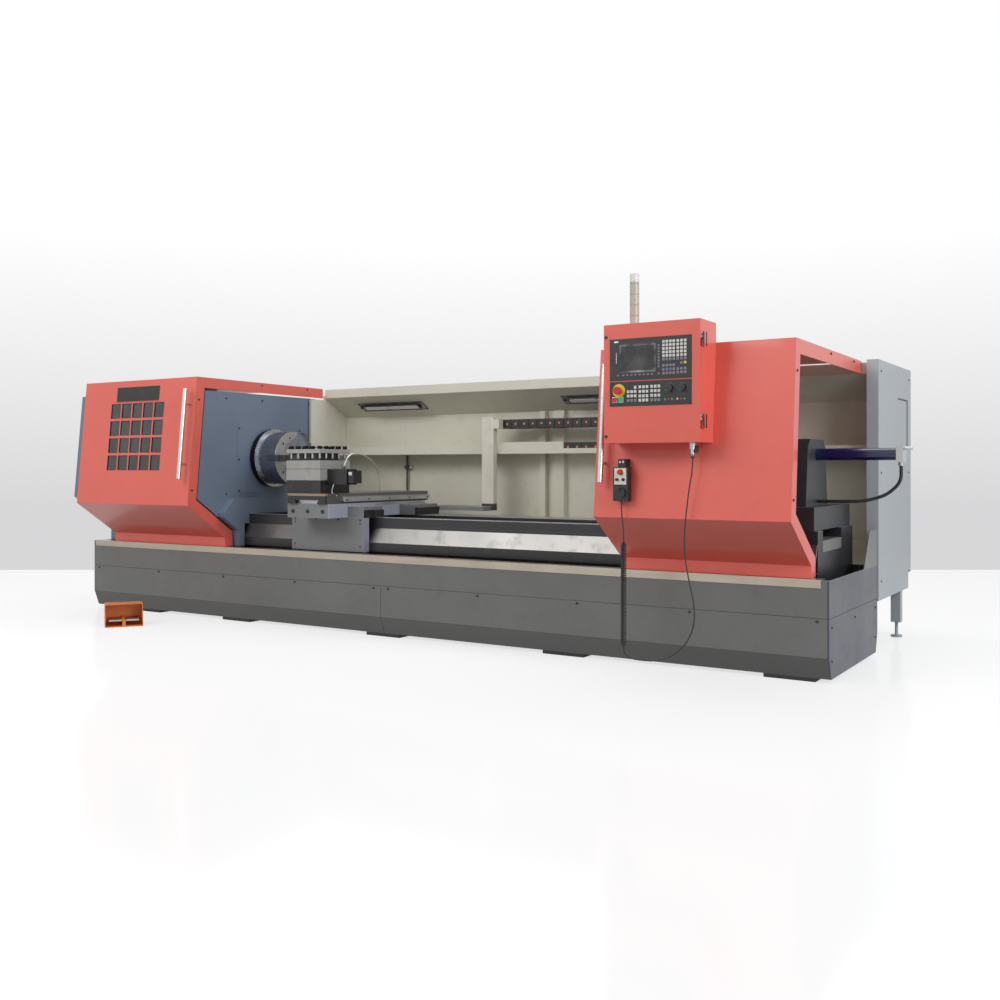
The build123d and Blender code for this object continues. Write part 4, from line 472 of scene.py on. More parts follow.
dress("chainBlack", "chain_lower_run", "chain_upper_run", "chain_bend")
dress("cabinetGrey", "electric_cabinet")
dress("lampGrey", "work_lamps")
dress("switchOrange", "foot_switch_guard")
dress("pedalGrey", "left_pedal", "right_pedal")
dress("doorRed", "left_door", "right_door", "box_lid")
dress("boxRed", "control_box")
dress("windowPane", "left_window")
dress("towerLens", "signal_tower")
dress("plasticBlack", "pendant_body", "operator_panel", "feed_dial", "speed_dial", "pendant_wheel")
dress("cordBlack", "pendant_lead", "pendant_coil", "pendant_cord", "hydraulic_hose")
dress("stopRed", "stop_knob", "red_button", "pendant_stop")
dress("startGreen", "green_button")
dress("castingGrey", "saddle", "apron")
dress("slideGrey", "cross_slide")
dress("turretGrey", "turret_base", "turret_head")
dress("trimSteel", "coolant_hose")
dress("tailstockGrey", "tailstock_body")
dress("cylinderBlue", "quill_cylinder")
print("finishes given to", len(nodes), "nodes")


# mesh kit: blocks with rounded edges, turned shapes and finished pieces
def joinForm(form, part, material, matrix=None):
    if matrix:
        bmesh.ops.transform(part, matrix=matrix, verts=part.verts)
    for face in part.faces:
        face.material_index = material
    holder = bpy.data.meshes.new("holder")
    part.to_mesh(holder)
    part.free()
    form.from_mesh(holder)
    bpy.data.meshes.remove(holder)


def addBlock(form, low, high, material=0, radius=0.0, matrix=None):
    part = bmesh.new()
    bmesh.ops.create_cube(part, size=1)
    low, high = Vector(low), Vector(high)
    fit = Matrix.Translation((low + high) / 2) @ Matrix.Diagonal((*(high - low), 1))
    bmesh.ops.transform(part, matrix=fit, verts=part.verts)
    if radius:
        bmesh.ops.bevel(part, geom=part.edges[:], offset=radius, segments=2, profile=0.5, affect="EDGES")
    joinForm(form, part, material, matrix)


def addTurned(form, place, along, profile, material=0, sides=24, matrix=None):
    # profile: (distance along the axis, radius), a radius of 0 closes the end
    part = bmesh.new()
    place, axis = Vector(place), Vector(along).normalized()
    across = axis.orthogonal().normalized()
    up = axis.cross(across)
    rings = []
    for run, radius in profile:
        middle = place + axis * run
        if radius == 0:
            rings.append([part.verts.new(middle)])
            continue
        ring = []
        for step in range(sides):
            angle = math.tau * step / sides
            ring.append(part.verts.new(middle + (across * math.cos(angle) + up * math.sin(angle)) * radius))
        rings.append(ring)
    for near, far in zip(rings, rings[1:]):
        for step in range(sides):
            after = (step + 1) % sides
            if len(near) == 1:
                part.faces.new((near[0], far[after], far[step]))
            elif len(far) == 1:
                part.faces.new((near[step], near[after], far[0]))
            else:
                part.faces.new((near[step], near[after], far[after], far[step]))
    joinForm(form, part, material, matrix)


def stub(radius, length, end=None):
    # profile of a short turned shape, with another radius at its far end where one is given
    return [(0, 0), (0, radius), (length, end or radius), (length, 0)]


def bars(low, high, wide, tall):
    # corners of a frame's four bars: lower, upper, left and right
    (left, bottom), (right, top) = low, high
    yield (left, bottom), (right, bottom + tall)
    yield (left, top - tall), (right, top)
    yield (left, bottom + tall), (left + wide, top - tall)
    yield (right - wide, bottom + tall), (right, top - tall)


def toObject(name, form):
    mesh = bpy.data.meshes.new(name)
    form.to_mesh(mesh)
    form.free()
    piece = bpy.data.objects.new(name, mesh)
    scene.collection.objects.link(piece)
    return piece


def makePiece(name, form, body, materials, replaced=()):
    piece = toObject(name, form)
    for material in materials:
        piece.data.materials.append(finishes[material])
    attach(piece, body)
    if replaced:
        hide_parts(*replaced)
    return piece


def applied(piece):
    # plain mesh of a piece with its modifiers worked in
    graph = bpy.context.evaluated_depsgraph_get()
    mesh = bpy.data.meshes.new_from_object(piece.evaluated_get(graph))
    piece.modifiers.clear()
    piece.data = mesh
    return piece


# screws: one tree sets a socket head on every point, turned to the point's own direction
def makeScrewTree():
    tree = bpy.data.node_groups.new("screwField", "GeometryNodeTree")
    face = tree.interface
    face.new_socket("Geometry", in_out="INPUT", socket_type="NodeSocketGeometry")
    face.new_socket("Diameter", in_out="INPUT", socket_type="NodeSocketFloat").default_value = 0.012
    face.new_socket("Height", in_out="INPUT", socket_type="NodeSocketFloat").default_value = 0.004
    face.new_socket("Head", in_out="INPUT", socket_type="NodeSocketMaterial")
    face.new_socket("Socket", in_out="INPUT", socket_type="NodeSocketMaterial")
    face.new_socket("Geometry", in_out="OUTPUT", socket_type="NodeSocketGeometry")
    given = addNode(tree, "NodeGroupInput").outputs
    end = addNode(tree, "NodeGroupOutput").inputs
    radius = mathStep(tree, "MULTIPLY", given["Diameter"], 0.5)
    head = addNode(tree, "GeometryNodeMeshCylinder")
    head.inputs["Vertices"].default_value = 14
    tree.links.new(radius, head.inputs["Radius"])
    tree.links.new(given["Height"], head.inputs["Depth"])
    crown = addNode(tree, "GeometryNodeExtrudeMesh", mode="FACES")
    tree.links.new(head.outputs["Mesh"], crown.inputs["Mesh"])
    tree.links.new(head.outputs["Top"], crown.inputs["Selection"])
    tree.links.new(mathStep(tree, "MULTIPLY", given["Diameter"], 0.05), crown.inputs["Offset Scale"])
    narrow = addNode(tree, "GeometryNodeScaleElements", domain="FACE")
    tree.links.new(crown.outputs["Mesh"], narrow.inputs["Geometry"])
    tree.links.new(crown.outputs["Top"], narrow.inputs["Selection"])
    narrow.inputs["Scale"].default_value = 0.84
    rim = addNode(tree, "GeometryNodeExtrudeMesh", mode="FACES")
    rim.inputs["Offset Scale"].default_value = 0
    tree.links.new(narrow.outputs[0], rim.inputs["Mesh"])
    tree.links.new(crown.outputs["Top"], rim.inputs["Selection"])
    hex_ = addNode(tree, "GeometryNodeScaleElements", domain="FACE")
    tree.links.new(rim.outputs["Mesh"], hex_.inputs["Geometry"])
    tree.links.new(rim.outputs["Top"], hex_.inputs["Selection"])
    hex_.inputs["Scale"].default_value = 0.58
    pit = addNode(tree, "GeometryNodeExtrudeMesh", mode="FACES")
    tree.links.new(hex_.outputs[0], pit.inputs["Mesh"])
    tree.links.new(rim.outputs["Top"], pit.inputs["Selection"])
    tree.links.new(mathStep(tree, "MULTIPLY", given["Height"], -0.6), pit.inputs["Offset Scale"])
    inside = addNode(tree, "FunctionNodeBooleanMath", operation="OR")
    tree.links.new(pit.outputs["Top"], inside.inputs[0])
    tree.links.new(pit.outputs["Side"], inside.inputs[1])
    marked = addNode(tree, "GeometryNodeStoreNamedAttribute", data_type="BOOLEAN", domain="FACE")
    marked.inputs["Name"].default_value = "inside"
    tree.links.new(pit.outputs["Mesh"], marked.inputs["Geometry"])
    tree.links.new(inside.outputs[0], marked.inputs["Value"])
    aim = addNode(tree, "GeometryNodeInputNamedAttribute", data_type="FLOAT_VECTOR")
    aim.inputs["Name"].default_value = "aim"
    turn = addNode(tree, "FunctionNodeAlignRotationToVector", axis="Z")
    tree.links.new(aim.outputs["Attribute"], turn.inputs["Vector"])
    spread = addNode(tree, "GeometryNodeInstanceOnPoints")
    tree.links.new(given["Geometry"], spread.inputs["Points"])
    tree.links.new(marked.outputs["Geometry"], spread.inputs["Instance"])
    tree.links.new(turn.outputs["Rotation"], spread.inputs["Rotation"])
    real = addNode(tree, "GeometryNodeRealizeInstances")
    tree.links.new(spread.outputs["Instances"], real.inputs["Geometry"])
    outer = addNode(tree, "GeometryNodeSetMaterial")
    tree.links.new(real.outputs["Geometry"], outer.inputs["Geometry"])
    tree.links.new(given["Head"], outer.inputs["Material"])
    known = addNode(tree, "GeometryNodeInputNamedAttribute", data_type="BOOLEAN")
    known.inputs["Name"].default_value = "inside"
    inner = addNode(tree, "GeometryNodeSetMaterial")
    tree.links.new(outer.outputs["Geometry"], inner.inputs["Geometry"])
    tree.links.new(known.outputs["Attribute"], inner.inputs["Selection"])
    tree.links.new(given["Socket"], inner.inputs["Material"])
    tree.links.new(inner.outputs["Geometry"], end["Geometry"])
    return tree


screwTree = makeScrewTree()


def setInput(modifier, label, value):
    for item in modifier.node_group.interface.items_tree:
        if item.name == label and item.in_out == "INPUT":
            modifier[item.identifier] = value


def screwField(name, body, spots, aim, diameter, height, head="screwBlack"):
    # spots are drawing places in millimetres, on the surface that carries the heads
    mesh = bpy.data.meshes.new(name)
    aim = Vector(aim).normalized()
    mesh.from_pydata([tuple(at(*spot) + aim * height / 2) for spot in spots], [], [])
    direction = mesh.attributes.new("aim", "FLOAT_VECTOR", "POINT")
    for item in direction.data:
        item.vector = aim
    piece = bpy.data.objects.new(name, mesh)
    scene.collection.objects.link(piece)
    field = piece.modifiers.new("screws", "NODES")
    field.node_group = screwTree
    setInput(field, "Diameter", diameter)
    setInput(field, "Height", height)
    setInput(field, "Head", finishes[head])
    setInput(field, "Socket", finishes["padBlack"])
    applied(piece)
    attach(piece, body)


# pendant cord: lead, curly stretch and loop up to the plug, in one line
pendantCord = {
    "diameter": 0.007,
    "curlRadius": 12.5,
    "curlTop": 700,
    "curlLow": 155,
    "turns": 57,
    "stepsPerTurn": 13,
    "depth": -338,
    "lead": ((4716, 915), (4716, 847), (4728, 775), (4728, 706)),
    "loop": (
        (4728, 0, 122), (4764, -2, 98), (4830, -3, 94), (4905, -4, 97), (4978, -3, 118), (5045, -1, 164), (5096, 0, 232),
        (5121, 2, 314), (5117, 3, 400), (5098, 3, 484), (5079, 2, 570), (5067, 0, 657), (5066, -1, 744), (5073, -2, 831),
        (5084, -2, 918), (5095, -1, 1003), (5111, -1, 1078), (5111, -1, 1149),
    ),
}


def newLine(name, points, steps):
    # one smooth open line that follows the points
    curve = bpy.data.curves.new(name, "CURVE")
    curve.dimensions = "3D"
    line = curve.splines.new("NURBS")
    line.points.add(len(points) - 1)
    for spot, place in zip(line.points, points):
        spot.co = (*place, 1)
    line.order_u = 3
    line.use_endpoint_u = True
    line.resolution_u = steps
    return curve


def curveCord(name, points, diameter, material, body):
    curve = newLine(name, points, 4)
    curve.bevel_depth = diameter / 2
    curve.bevel_resolution = 3
    curve.use_fill_caps = True
    curve.materials.append(finishes[material])
    piece = bpy.data.objects.new(name, curve)
    scene.collection.objects.link(piece)
    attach(piece, body)
    return piece


def lineLength(points):
    return sum((after - before).length for before, after in zip(points, points[1:]))


def nurbsPath(points, steps=8):
    # places along the same kind of line as the cord's own
    curve = newLine("path", points, steps)
    holder = bpy.data.objects.new("path", curve)
    mesh = bpy.data.meshes.new_from_object(holder)
    places = [vertex.co.copy() for vertex in mesh.vertices]
    bpy.data.objects.remove(holder)
    bpy.data.meshes.remove(mesh)
    return places


def makePendantCord():
    facts = pendantCord
    points = [at(x, facts["depth"], z) for x, z in facts["lead"]]
    radius = facts["curlRadius"]
    steps = facts["turns"] * facts["stepsPerTurn"]
    for step in range(steps + 1):
        angle = math.tau * step / facts["stepsPerTurn"]
        height = facts["curlTop"] - (facts["curlTop"] - facts["curlLow"]) * step / steps
        ease = min(1, (step + 4) / (facts["stepsPerTurn"] + 4), (steps - step + 4) / (facts["stepsPerTurn"] + 4))
        spread = radius * ease
        points.append(at(4728 + spread * math.cos(angle), facts["depth"] + spread * math.sin(angle), height))
    points += [at(x, facts["depth"] + drift, z) for x, drift, z in facts["loop"]]
    cord = curveCord("pendantCord", points, facts["diameter"], "cordBlack", "right_door")
    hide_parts("pendant_lead", "pendant_coil", "pendant_cord")
    length = lineLength(nurbsPath(points, 4))
    print("pendant cord", round(length, 2), "m")


makePendantCord()


# hoses: a braided sleeve follows the route, its pattern on the hose's own map
hoses = {
    "coolantHose": {
        "route": (
            (2487.6, 66.4, 1095.8), (2485.8, 99.1, 1181.8), (2478, 262, 1186), (2462, 430, 1120), (2443.5, 503, 1012),
            (2443.5, 503, 918),
        ),
        "diameter": 0.011, "body": "cross_slide", "node": "coolant_hose", "slot": "hose_braid", "material": "hoseBraid",
        "stiffness": "stiff",
    },
}


def makeBraid(name, color, dark, roughness, metallic):
    material, tree, shader = newMaterial(name)
    spread = addNode(tree, "ShaderNodeUVMap", uv_map="sleeve")
    parts = addNode(tree, "ShaderNodeSeparateXYZ")
    tree.links.new(spread.outputs[0], parts.inputs[0])
    ways = []
    for sign in (1, -1):
        along = mathStep(tree, "MULTIPLY", parts.outputs["X"], 900.0)
        around = mathStep(tree, "MULTIPLY", parts.outputs["Y"], 37.7 * sign)
        ways.append(mathStep(tree, "SINE", mathStep(tree, "ADD", along, around)))
    weave = mathStep(tree, "MAXIMUM", ways[0], ways[1])
    share = mathStep(tree, "ADD", mathStep(tree, "MULTIPLY", weave, 0.5), 0.5, True)
    tree.links.new(mixColor(tree, share, dark, color), shader.inputs["Base Color"])
    rough = mathStep(tree, "SUBTRACT", roughness + 0.2, mathStep(tree, "MULTIPLY", share, 0.2))
    tree.links.new(rough, shader.inputs["Roughness"])
    relief = addNode(tree, "ShaderNodeBump")
    relief.inputs["Strength"].default_value = 0.5
    relief.inputs["Distance"].default_value = 0.0005
    tree.links.new(share, relief.inputs["Height"])
    tree.links.new(relief.outputs[0], shader.inputs["Normal"])
    shader.inputs["Metallic"].default_value = metallic
    return material


finishes["hoseBraid"] = makeBraid("hoseBraid", (0.72, 0.72, 0.70), (0.16, 0.16, 0.16), 0.3, 0.8)


def sleeve(name, path, radius, sides=12):
    # closed tube along a path, with a map of metres along and turns around
    form = bmesh.new()
    chart = form.loops.layers.uv.new("sleeve")
    normal = (path[1] - path[0]).orthogonal().normalized()
    rings, runs, run = [], [], 0.0
    for index, place in enumerate(path):
        before, after = path[max(index - 1, 0)], path[min(index + 1, len(path) - 1)]
        way = (after - before).normalized()
        normal = (normal - way * normal.dot(way)).normalized()
        side = way.cross(normal)
        if index:
            run += (place - path[index - 1]).length
        ring = []
        for step in range(sides):
            angle = math.tau * step / sides
            ring.append(form.verts.new(place + (normal * math.cos(angle) + side * math.sin(angle)) * radius))
        rings.append(ring)
        runs.append(run)
    for index in range(len(rings) - 1):
        near, far = rings[index], rings[index + 1]
        for step in range(sides):
            after = (step + 1) % sides
            face = form.faces.new((near[step], near[after], far[after], far[step]))
            face.smooth = True
            marks = ((runs[index], step), (runs[index], step + 1), (runs[index + 1], step + 1), (runs[index + 1], step))
            for loop, (along, turn) in zip(face.loops, marks):
                loop[chart].uv = (along, turn / sides)
    form.faces.new(list(reversed(rings[0])))
    form.faces.new(rings[-1])
    return toObject(name, form)


for name, facts in hoses.items():
    path = nurbsPath([at(*spot) for spot in facts["route"]])
    hose = sleeve(name, path, facts["diameter"] / 2)
    hose.data.materials.append(finishes[facts["material"]])
    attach(hose, facts["body"])
    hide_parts(facts["node"])
    print(name, round(lineLength(path), 3), "m")


# energy chain: links that keep to the run between the fixed end and the carriage
chain = {"front": 1152, "width": 92, "height": 66, "pitch": 71, "gap": 3, "capRadius": 8}


def makeLink(form, middle, length):
    low = Vector((middle.x - length / 2, middle.y - 0.046, middle.z - 0.033))
    high = Vector((middle.x + length / 2, middle.y + 0.046, middle.z + 0.033))
    gap = chain["gap"] / 1000
    addBlock(form, low + Vector((0, 0.006, 0.004)), high - Vector((0, 0.006, 0.004)), 0)
    for side in (low.y + 0.0015, high.y - 0.0075):
        addBlock(form, (low.x + gap / 2, side, low.z), (high.x - gap / 2, side + 0.006, high.z), 0, 0.0012)
    cap = chain["capRadius"] / 1000
    for side, way in ((low.y + 0.002, -1), (high.y - 0.002, 1)):
        seat = [(-0.002, 0), (-0.002, cap * 1.5), (0.0004, cap * 1.5), (0.0004, cap), (0.0004, 0)]
        addTurned(form, (middle.x, side, middle.z), (0, way, 0), seat, 0, 16)
        addTurned(form, (middle.x, side, middle.z), (0, way, 0), stub(cap, 0.0016, cap * 0.9), 1, 16)


def makeRun(name, startStation, endStation, height, node):
    count = int((endStation - startStation) / chain["pitch"])
    pitch = (endStation - startStation) / count / 1000
    first = at(startStation, chain["front"] + chain["width"] / 2, height)
    for number in range(count):
        near, far = first.x + pitch * number, first.x + pitch * (number + 1)
        form = bmesh.new()
        makeLink(form, Vector(((near + far) / 2, first.y, first.z)), pitch)
        link = toObject(f"{name}{number + 1:02d}", form)
        link.data.materials.append(finishes["chainBlack"])
        link.data.materials.append(finishes["dotOrange"])
        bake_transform(link)
        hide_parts(node)
    print(name, count, "links")


makeRun("upperLink", 3056, 4340, 1405, "chain_upper_run")
makeRun("lowerLink", 3555, 4340, 1235, "chain_lower_run")


def makeBend():
    form = bmesh.new()
    middle = at(4340, chain["front"], 1320)
    inner, outer, links, steps = 0.052, 0.118, 5, 4
    for number in range(links):
        part = bmesh.new()
        start = -90 + 180 / links * number + 1
        span = 180 / links - 2
        fronts, backs = [], []
        for radius, order in ((outer, range(steps + 1)), (inner, range(steps, -1, -1))):
            for step in order:
                angle = math.radians(start + span * step / steps)
                x, z = middle.x + radius * math.cos(angle), middle.z + radius * math.sin(angle)
                fronts.append(part.verts.new((x, middle.y + 0.0015, z)))
                backs.append(part.verts.new((x, middle.y + 0.0905, z)))
        part.faces.new(fronts)
        part.faces.new(list(reversed(backs)))
        for index in range(len(fronts)):
            after = (index + 1) % len(fronts)
            part.faces.new((fronts[after], fronts[index], backs[index], backs[after]))
        bmesh.ops.recalc_face_normals(part, faces=part.faces)
        joinForm(form, part, 0)
        angle = math.radians(start + span / 2)
        spot = (middle.x + 0.085 * math.cos(angle), middle.y + 0.002, middle.z + 0.085 * math.sin(angle))
        addTurned(form, spot, (0, -1, 0), stub(0.008, 0.0016, 0.0072), 1, 16)
    makePiece("chainBend", form, "chain_bend", ("chainBlack", "dotOrange"), ("chain_bend",))


makeBend()
print("chain made")


# work lamps: recessed tray on the slope, black housing with two lenses, and a ball joint at its left end
lamps = {"first": 1690, "second": 3520, "length": 620, "width": 110}


def makeLamps():
    form = bmesh.new()
    slope = Vector((0, 262, -145)).normalized()
    out = Vector((0, slope.z, -slope.y))
    half = lamps["length"] / 2000
    for left in (lamps["first"], lamps["second"]):
        place = Matrix.Translation(at(left + lamps["length"] / 2, 1221, 1572.5)) @ Matrix(
            (
                (1, slope.x, out.x, 0),
                (0, slope.y, out.y, 0),
                (0, slope.z, out.z, 0),
                (0, 0, 0, 1),
            )
        )
        addBlock(form, (-half, -0.055, 0), (half, 0.055, 0.003), 0, 0, place)
        rims = (
            ((-half, -0.055), (half, -0.051)), ((-half, 0.051), (half, 0.055)),
            ((-half, -0.055), (-half + 0.004, 0.055)), ((half - 0.004, -0.055), (half, 0.055)),
        )
        for near, far in rims:
            addBlock(form, (*near, 0), (*far, 0.007), 3, 0.0008, place)
        addBlock(form, (-half + 0.05, -0.043, 0.004), (half - 0.03, 0.012, 0.028), 1, 0.004, place)
        for start, end in ((-half + 0.065, -0.035), (0.0, half - 0.045)):
            addBlock(form, (start, -0.036, 0.026), (end, 0.004, 0.0296), 2, 0.001, place)
        addBlock(form, (-0.030, -0.034, 0.026), (-0.004, 0.002, 0.0292), 2, 0.001, place)
        ball = [(-0.013, 0), (-0.010, 0.008), (-0.004, 0.0125), (0.004, 0.0125), (0.010, 0.008), (0.013, 0)]
        addTurned(form, (-half + 0.018, -0.016, 0.015), (1, 0, 0), ball, 1, 16, place)
        stem = stub(0.005, 0.035, 0.006)
        addTurned(form, (-half + 0.022, -0.016, 0.015), (1, 0, 0), stem, 1, 12, place)
    lampFinishes = ("lampGrey", "plasticBlack", "lampLens", "darkSteel")
    makePiece("workLamps", form, "machine", lampFinishes, ("work_lamps",))


makeLamps()


# operator panel: screen plate and machine plate, each with its membrane keys
panel = {
    "left": 4700, "right": 5146, "face": -442, "back": -439,
    "screenLow": 1535, "screenHigh": 1748, "keysLow": 1404, "keysHigh": 1529,
    "keyRise": 1.4,
}
panelFinishes = (
    "panelBlack", "screenGlass", "keyWhite", "keyGrey", "keyYellow", "keyViolet", "hingeBlack", "trimSteel", "startGreen",
    "stopRed",
)


def carve(form, holes):
    # the form with the holes' shape cut out of it
    blank, tool = toObject("blank", form), toObject("tool", holes)
    cut = blank.modifiers.new("cut", "BOOLEAN")
    cut.operation = "DIFFERENCE"
    cut.solver = "EXACT"
    cut.object = tool
    applied(blank)
    result = bmesh.new()
    result.from_mesh(blank.data)
    bpy.data.objects.remove(blank)
    bpy.data.objects.remove(tool)
    return result


def makePanel():
    face, back = panel["face"], panel["back"]
    form, holes = bmesh.new(), bmesh.new()
    for low, high in ((panel["screenLow"], panel["screenHigh"]), (panel["keysLow"], panel["keysHigh"])):
        addBlock(form, at(panel["left"], face, low), at(panel["right"], back, high), 0)
    for x, z, radius in ((4751, 1483, 11), (5032, 1488, 5.5), (5101, 1488, 5.5)):
        addTurned(holes, at(x, face - 3, z), (0, 1, 0), stub(radius / 1000, 0.010), 0, 24)
    for x in (4728, 4762):
        addBlock(holes, at(x - 11.6, face - 3, 1437 - 11.6), at(x + 11.6, back + 3, 1437 + 11.6), 0)
    form = carve(form, holes)

    def key(x, z, wide, high, finish):
        low = at(x - wide / 2, face - panel["keyRise"], z - high / 2)
        addBlock(form, low, at(x + wide / 2, face + 0.2, z + high / 2), finish, 0.0006)

    # screen in its frame, memory slot and a plain strip over it
    for near, far in bars((4750, 1569), (4960, 1723), 5, 5):
        addBlock(form, at(near[0], face - 1.2, near[1]), at(far[0], face + 0.2, far[1]), 6, 0.0005)
    addBlock(form, at(4755, face - 0.4, 1574), at(4955, face + 0.2, 1718), 1)
    addBlock(form, at(4728, face - 0.8, 1617), at(4746, face + 0.2, 1683), 6, 0.0005)
    addBlock(form, at(4736, face - 1.2, 1622), at(4738.6, face, 1678), 7)
    addBlock(form, at(4724, face - 0.8, 1730), at(4749, face + 0.2, 1737), 7, 0.0004)
    rows = [1721.6 - 17.92 * step for step in range(5)]
    for columns in ([4997.6 + 18.43 * step for step in range(4)], [5074.3 + 19.45 * step for step in range(3)]):
        for x in columns:
            for z in rows:
                key(x, z, 13.5, 13.2, 2)
            key(x, 1632.5, 13.5, 13.2, 3)
    key(5113.2, 1611.6, 13.5, 13.2, 4)
    key(5094.1, 1611.3, 13.5, 13.2, 3)
    for column in range(4):
        for z in (1601.5, 1582, 1563):
            inner = column in (1, 2) and z == 1582
            key(4997.6 + 18.43 * column, z, 13.5, 13.2, 5 if inner else 3)
    for column in range(3):
        for z in (1582.4, 1564.4):
            key(5074.3 + 19.45 * column, z, 13.5, 13.2, 3)
    for step in range(8):
        key(4971.5, 1703.8 - 15.17 * step, 10, 9, 3)
        key(4776.2 + 22.7 * step, 1562, 13, 7.5, 3)
    key(4971.5, 1562.6, 10, 9, 3)
    key(4747.4, 1562, 13, 7.5, 3)
    # machine plate: yellow ring under the stop knob, key blocks, dial scales and cycle marks
    ring = [(0, 0.0115), (-0.0012, 0.0115), (-0.0012, 0.034), (0, 0.035), (0.0004, 0.035), (0.0004, 0.0115)]
    addTurned(form, at(4751, face, 1483), (0, 1, 0), ring, 4, 40)
    for x, z in ((4728, 1437), (4762, 1437)):
        for near, far in bars((-14, -14), (14, 14), 2.4, 2.4):
            addBlock(form, at(x + near[0], face - 1, z + near[1]), at(x + far[0], face + 0.2, z + far[1]), 7)
    blocks = ((4804, 19.4, (1476.9, 1455)), (4868.9, 19.5, (1499, 1476, 1453)), (4933.6, 19.7, (1499.6, 1477, 1454)))
    for start, pitch, heights in blocks:
        for column in range(3):
            for z in heights:
                key(start + pitch * column, z, 14, 14.5, 2)
            key(start + pitch * column, 1431.5, 14, 14.5, 3 if start != 4868.9 else 2)
    key(4842.9, 1497.9, 14, 14.5, 2)
    for x in (5032, 5101):
        for step in range(11):
            angle = math.radians(-130 + 26 * step)
            spot = (x + 23 * math.sin(angle), 1488 + 23 * math.cos(angle))
            addBlock(form, at(spot[0] - 0.9, face - 0.5, spot[1] - 0.9), at(spot[0] + 0.9, face + 0.2, spot[1] + 0.9), 7)
    marks = ((5006.2, 8), (5025.7, 9), (5043.6, 8), (5072.1, 2), (5092, 9), (5110.4, 8))
    for x, finish in marks:
        wedge = stub(0.0075, 0.0016, 0.007)
        addTurned(form, at(x, face + 0.2, 1432), (0, -1, 0), wedge, finish, 3)
    makePiece("operatorPanel", form, "box_lid", panelFinishes, ("operator_panel",))


makePanel()
print("panel made")


# pendant: pale front plate, two selectors, grip ribs, marks round the wheel and hook screws
def makePendantTrim():
    form, holes = bmesh.new(), bmesh.new()
    middle, front = 4716, -352
    addBlock(form, at(middle - 34, front - 0.8, 1002), at(middle + 34, front + 0.1, 1087), 0)
    addTurned(holes, at(middle, front - 6, 1066), (0, 1, 0), stub(0.0145, 0.012), 0, 32)
    for offset in (-18, 18):
        spot = at(middle + offset, front - 6, 1028)
        addTurned(holes, spot, (0, 1, 0), stub(0.0083, 0.012), 0, 24)
    form = carve(form, holes)
    ring = [(0.0003, 0.0146), (-0.0003, 0.0146), (-0.0003, 0.0185), (0.0003, 0.0188), (0.0003, 0.0146)]
    addTurned(form, at(middle, front - 0.8, 1066), (0, 1, 0), ring, 3, 32)
    for offset in (-18, 18):
        cap = stub(0.0072, 0.0018, 0.0062)
        addTurned(form, at(middle + offset, front - 9, 1028), (0, -1, 0), cap, 1, 20)
        turned = Matrix.Translation(at(middle + offset, front - 9, 1028)) @ Matrix.Rotation(math.radians(35), 4, "Y")
        addBlock(form, (-0.0018, -0.0042, -0.0068), (0.0018, 0.0, 0.0068), 1, 0.0006, turned)
    for side in (-1, 1):
        for step in range(5):
            height = 935 + 13 * step
            edge = middle + side * 42
            addBlock(form, at(edge - 1.2, front + 6, height), at(edge + 1.2, front + 40, height + 6), 1, 0.0008)
    scale = 20
    for step in range(scale):
        angle = math.tau * step / scale
        x, z = middle + 34.5 * math.sin(angle), 958 + 34.5 * math.cos(angle)
        if z > 920:
            addBlock(form, at(x - 0.7, front - 0.5, z - 0.7), at(x + 0.7, front + 0.2, z + 0.7), 2)
    for offset in (-9, 9):
        head = stub(0.0062, 0.0024, 0.0052)
        addTurned(form, at(middle + offset, -335, 1119), (0, -1, 0), head, 2, 16)
    trimFinishes = ("panelWhite", "plasticBlack", "screwBright", "keyYellow")
    makePiece("pendantTrim", form, "right_door", trimFinishes)


makePendantTrim()


# control box: black hinge covers, two locks, the clamp on the cable plug
def makeBoxTrim():
    lid, body = bmesh.new(), bmesh.new()
    for height in (1320, 1725):
        low = height - 35
        addBlock(body, at(5205.2, -402, low), at(5207.4, -388, height + 35), 0, 0.0008)
        addBlock(lid, at(5205.3, -436, low), at(5207.6, -424, height + 35), 0, 0.0008)
        addBlock(lid, at(5190.2, -438, height + 3), at(5206, -430.5, height + 33), 0, 0.0012)
    for height in (1250, 1762):
        lock = [(0, 0.0), (0, 0.009), (0.003, 0.0085), (0.0036, 0.0045), (0.006, 0.004), (0.006, 0)]
        addTurned(lid, at(4677, -438.8, height), (0, -1, 0), lock, 0, 20)
    makePiece("lidHinges", lid, "box_lid", ("hingeBlack",))
    collar = [(0, 0.0), (0, 0.0185), (0.008, 0.0185), (0.010, 0.0168), (0.022, 0.0168), (0.022, 0.0)]
    addTurned(body, at(5111, -339, 1214.5), (0, 0, -1), collar, 1, 24)
    addBlock(body, at(5127, -352, 1163), at(5141, -328, 1200), 0, 0.004)
    nut = [(0, 0.0), (0, 0.0115), (0.012, 0.0105), (0.020, 0.0062), (0.020, 0.0)]
    addTurned(body, at(5111, -339, 1156), (0, 0, -1), nut, 0, 20)
    makePiece("boxTrim", body, "right_door", ("hingeBlack", "screwBright"))


makeBoxTrim()


# left door: plain black plate, its red line and the frames of the panes, on the leaning front
doorFront = {"noseDepth": -307, "noseHeight": 827, "browDepth": -220, "browHeight": 1726}


def doorDepth(height):
    share = (height - doorFront["noseHeight"]) / (doorFront["browHeight"] - doorFront["noseHeight"])
    return doorFront["noseDepth"] + share * (doorFront["browDepth"] - doorFront["noseDepth"])


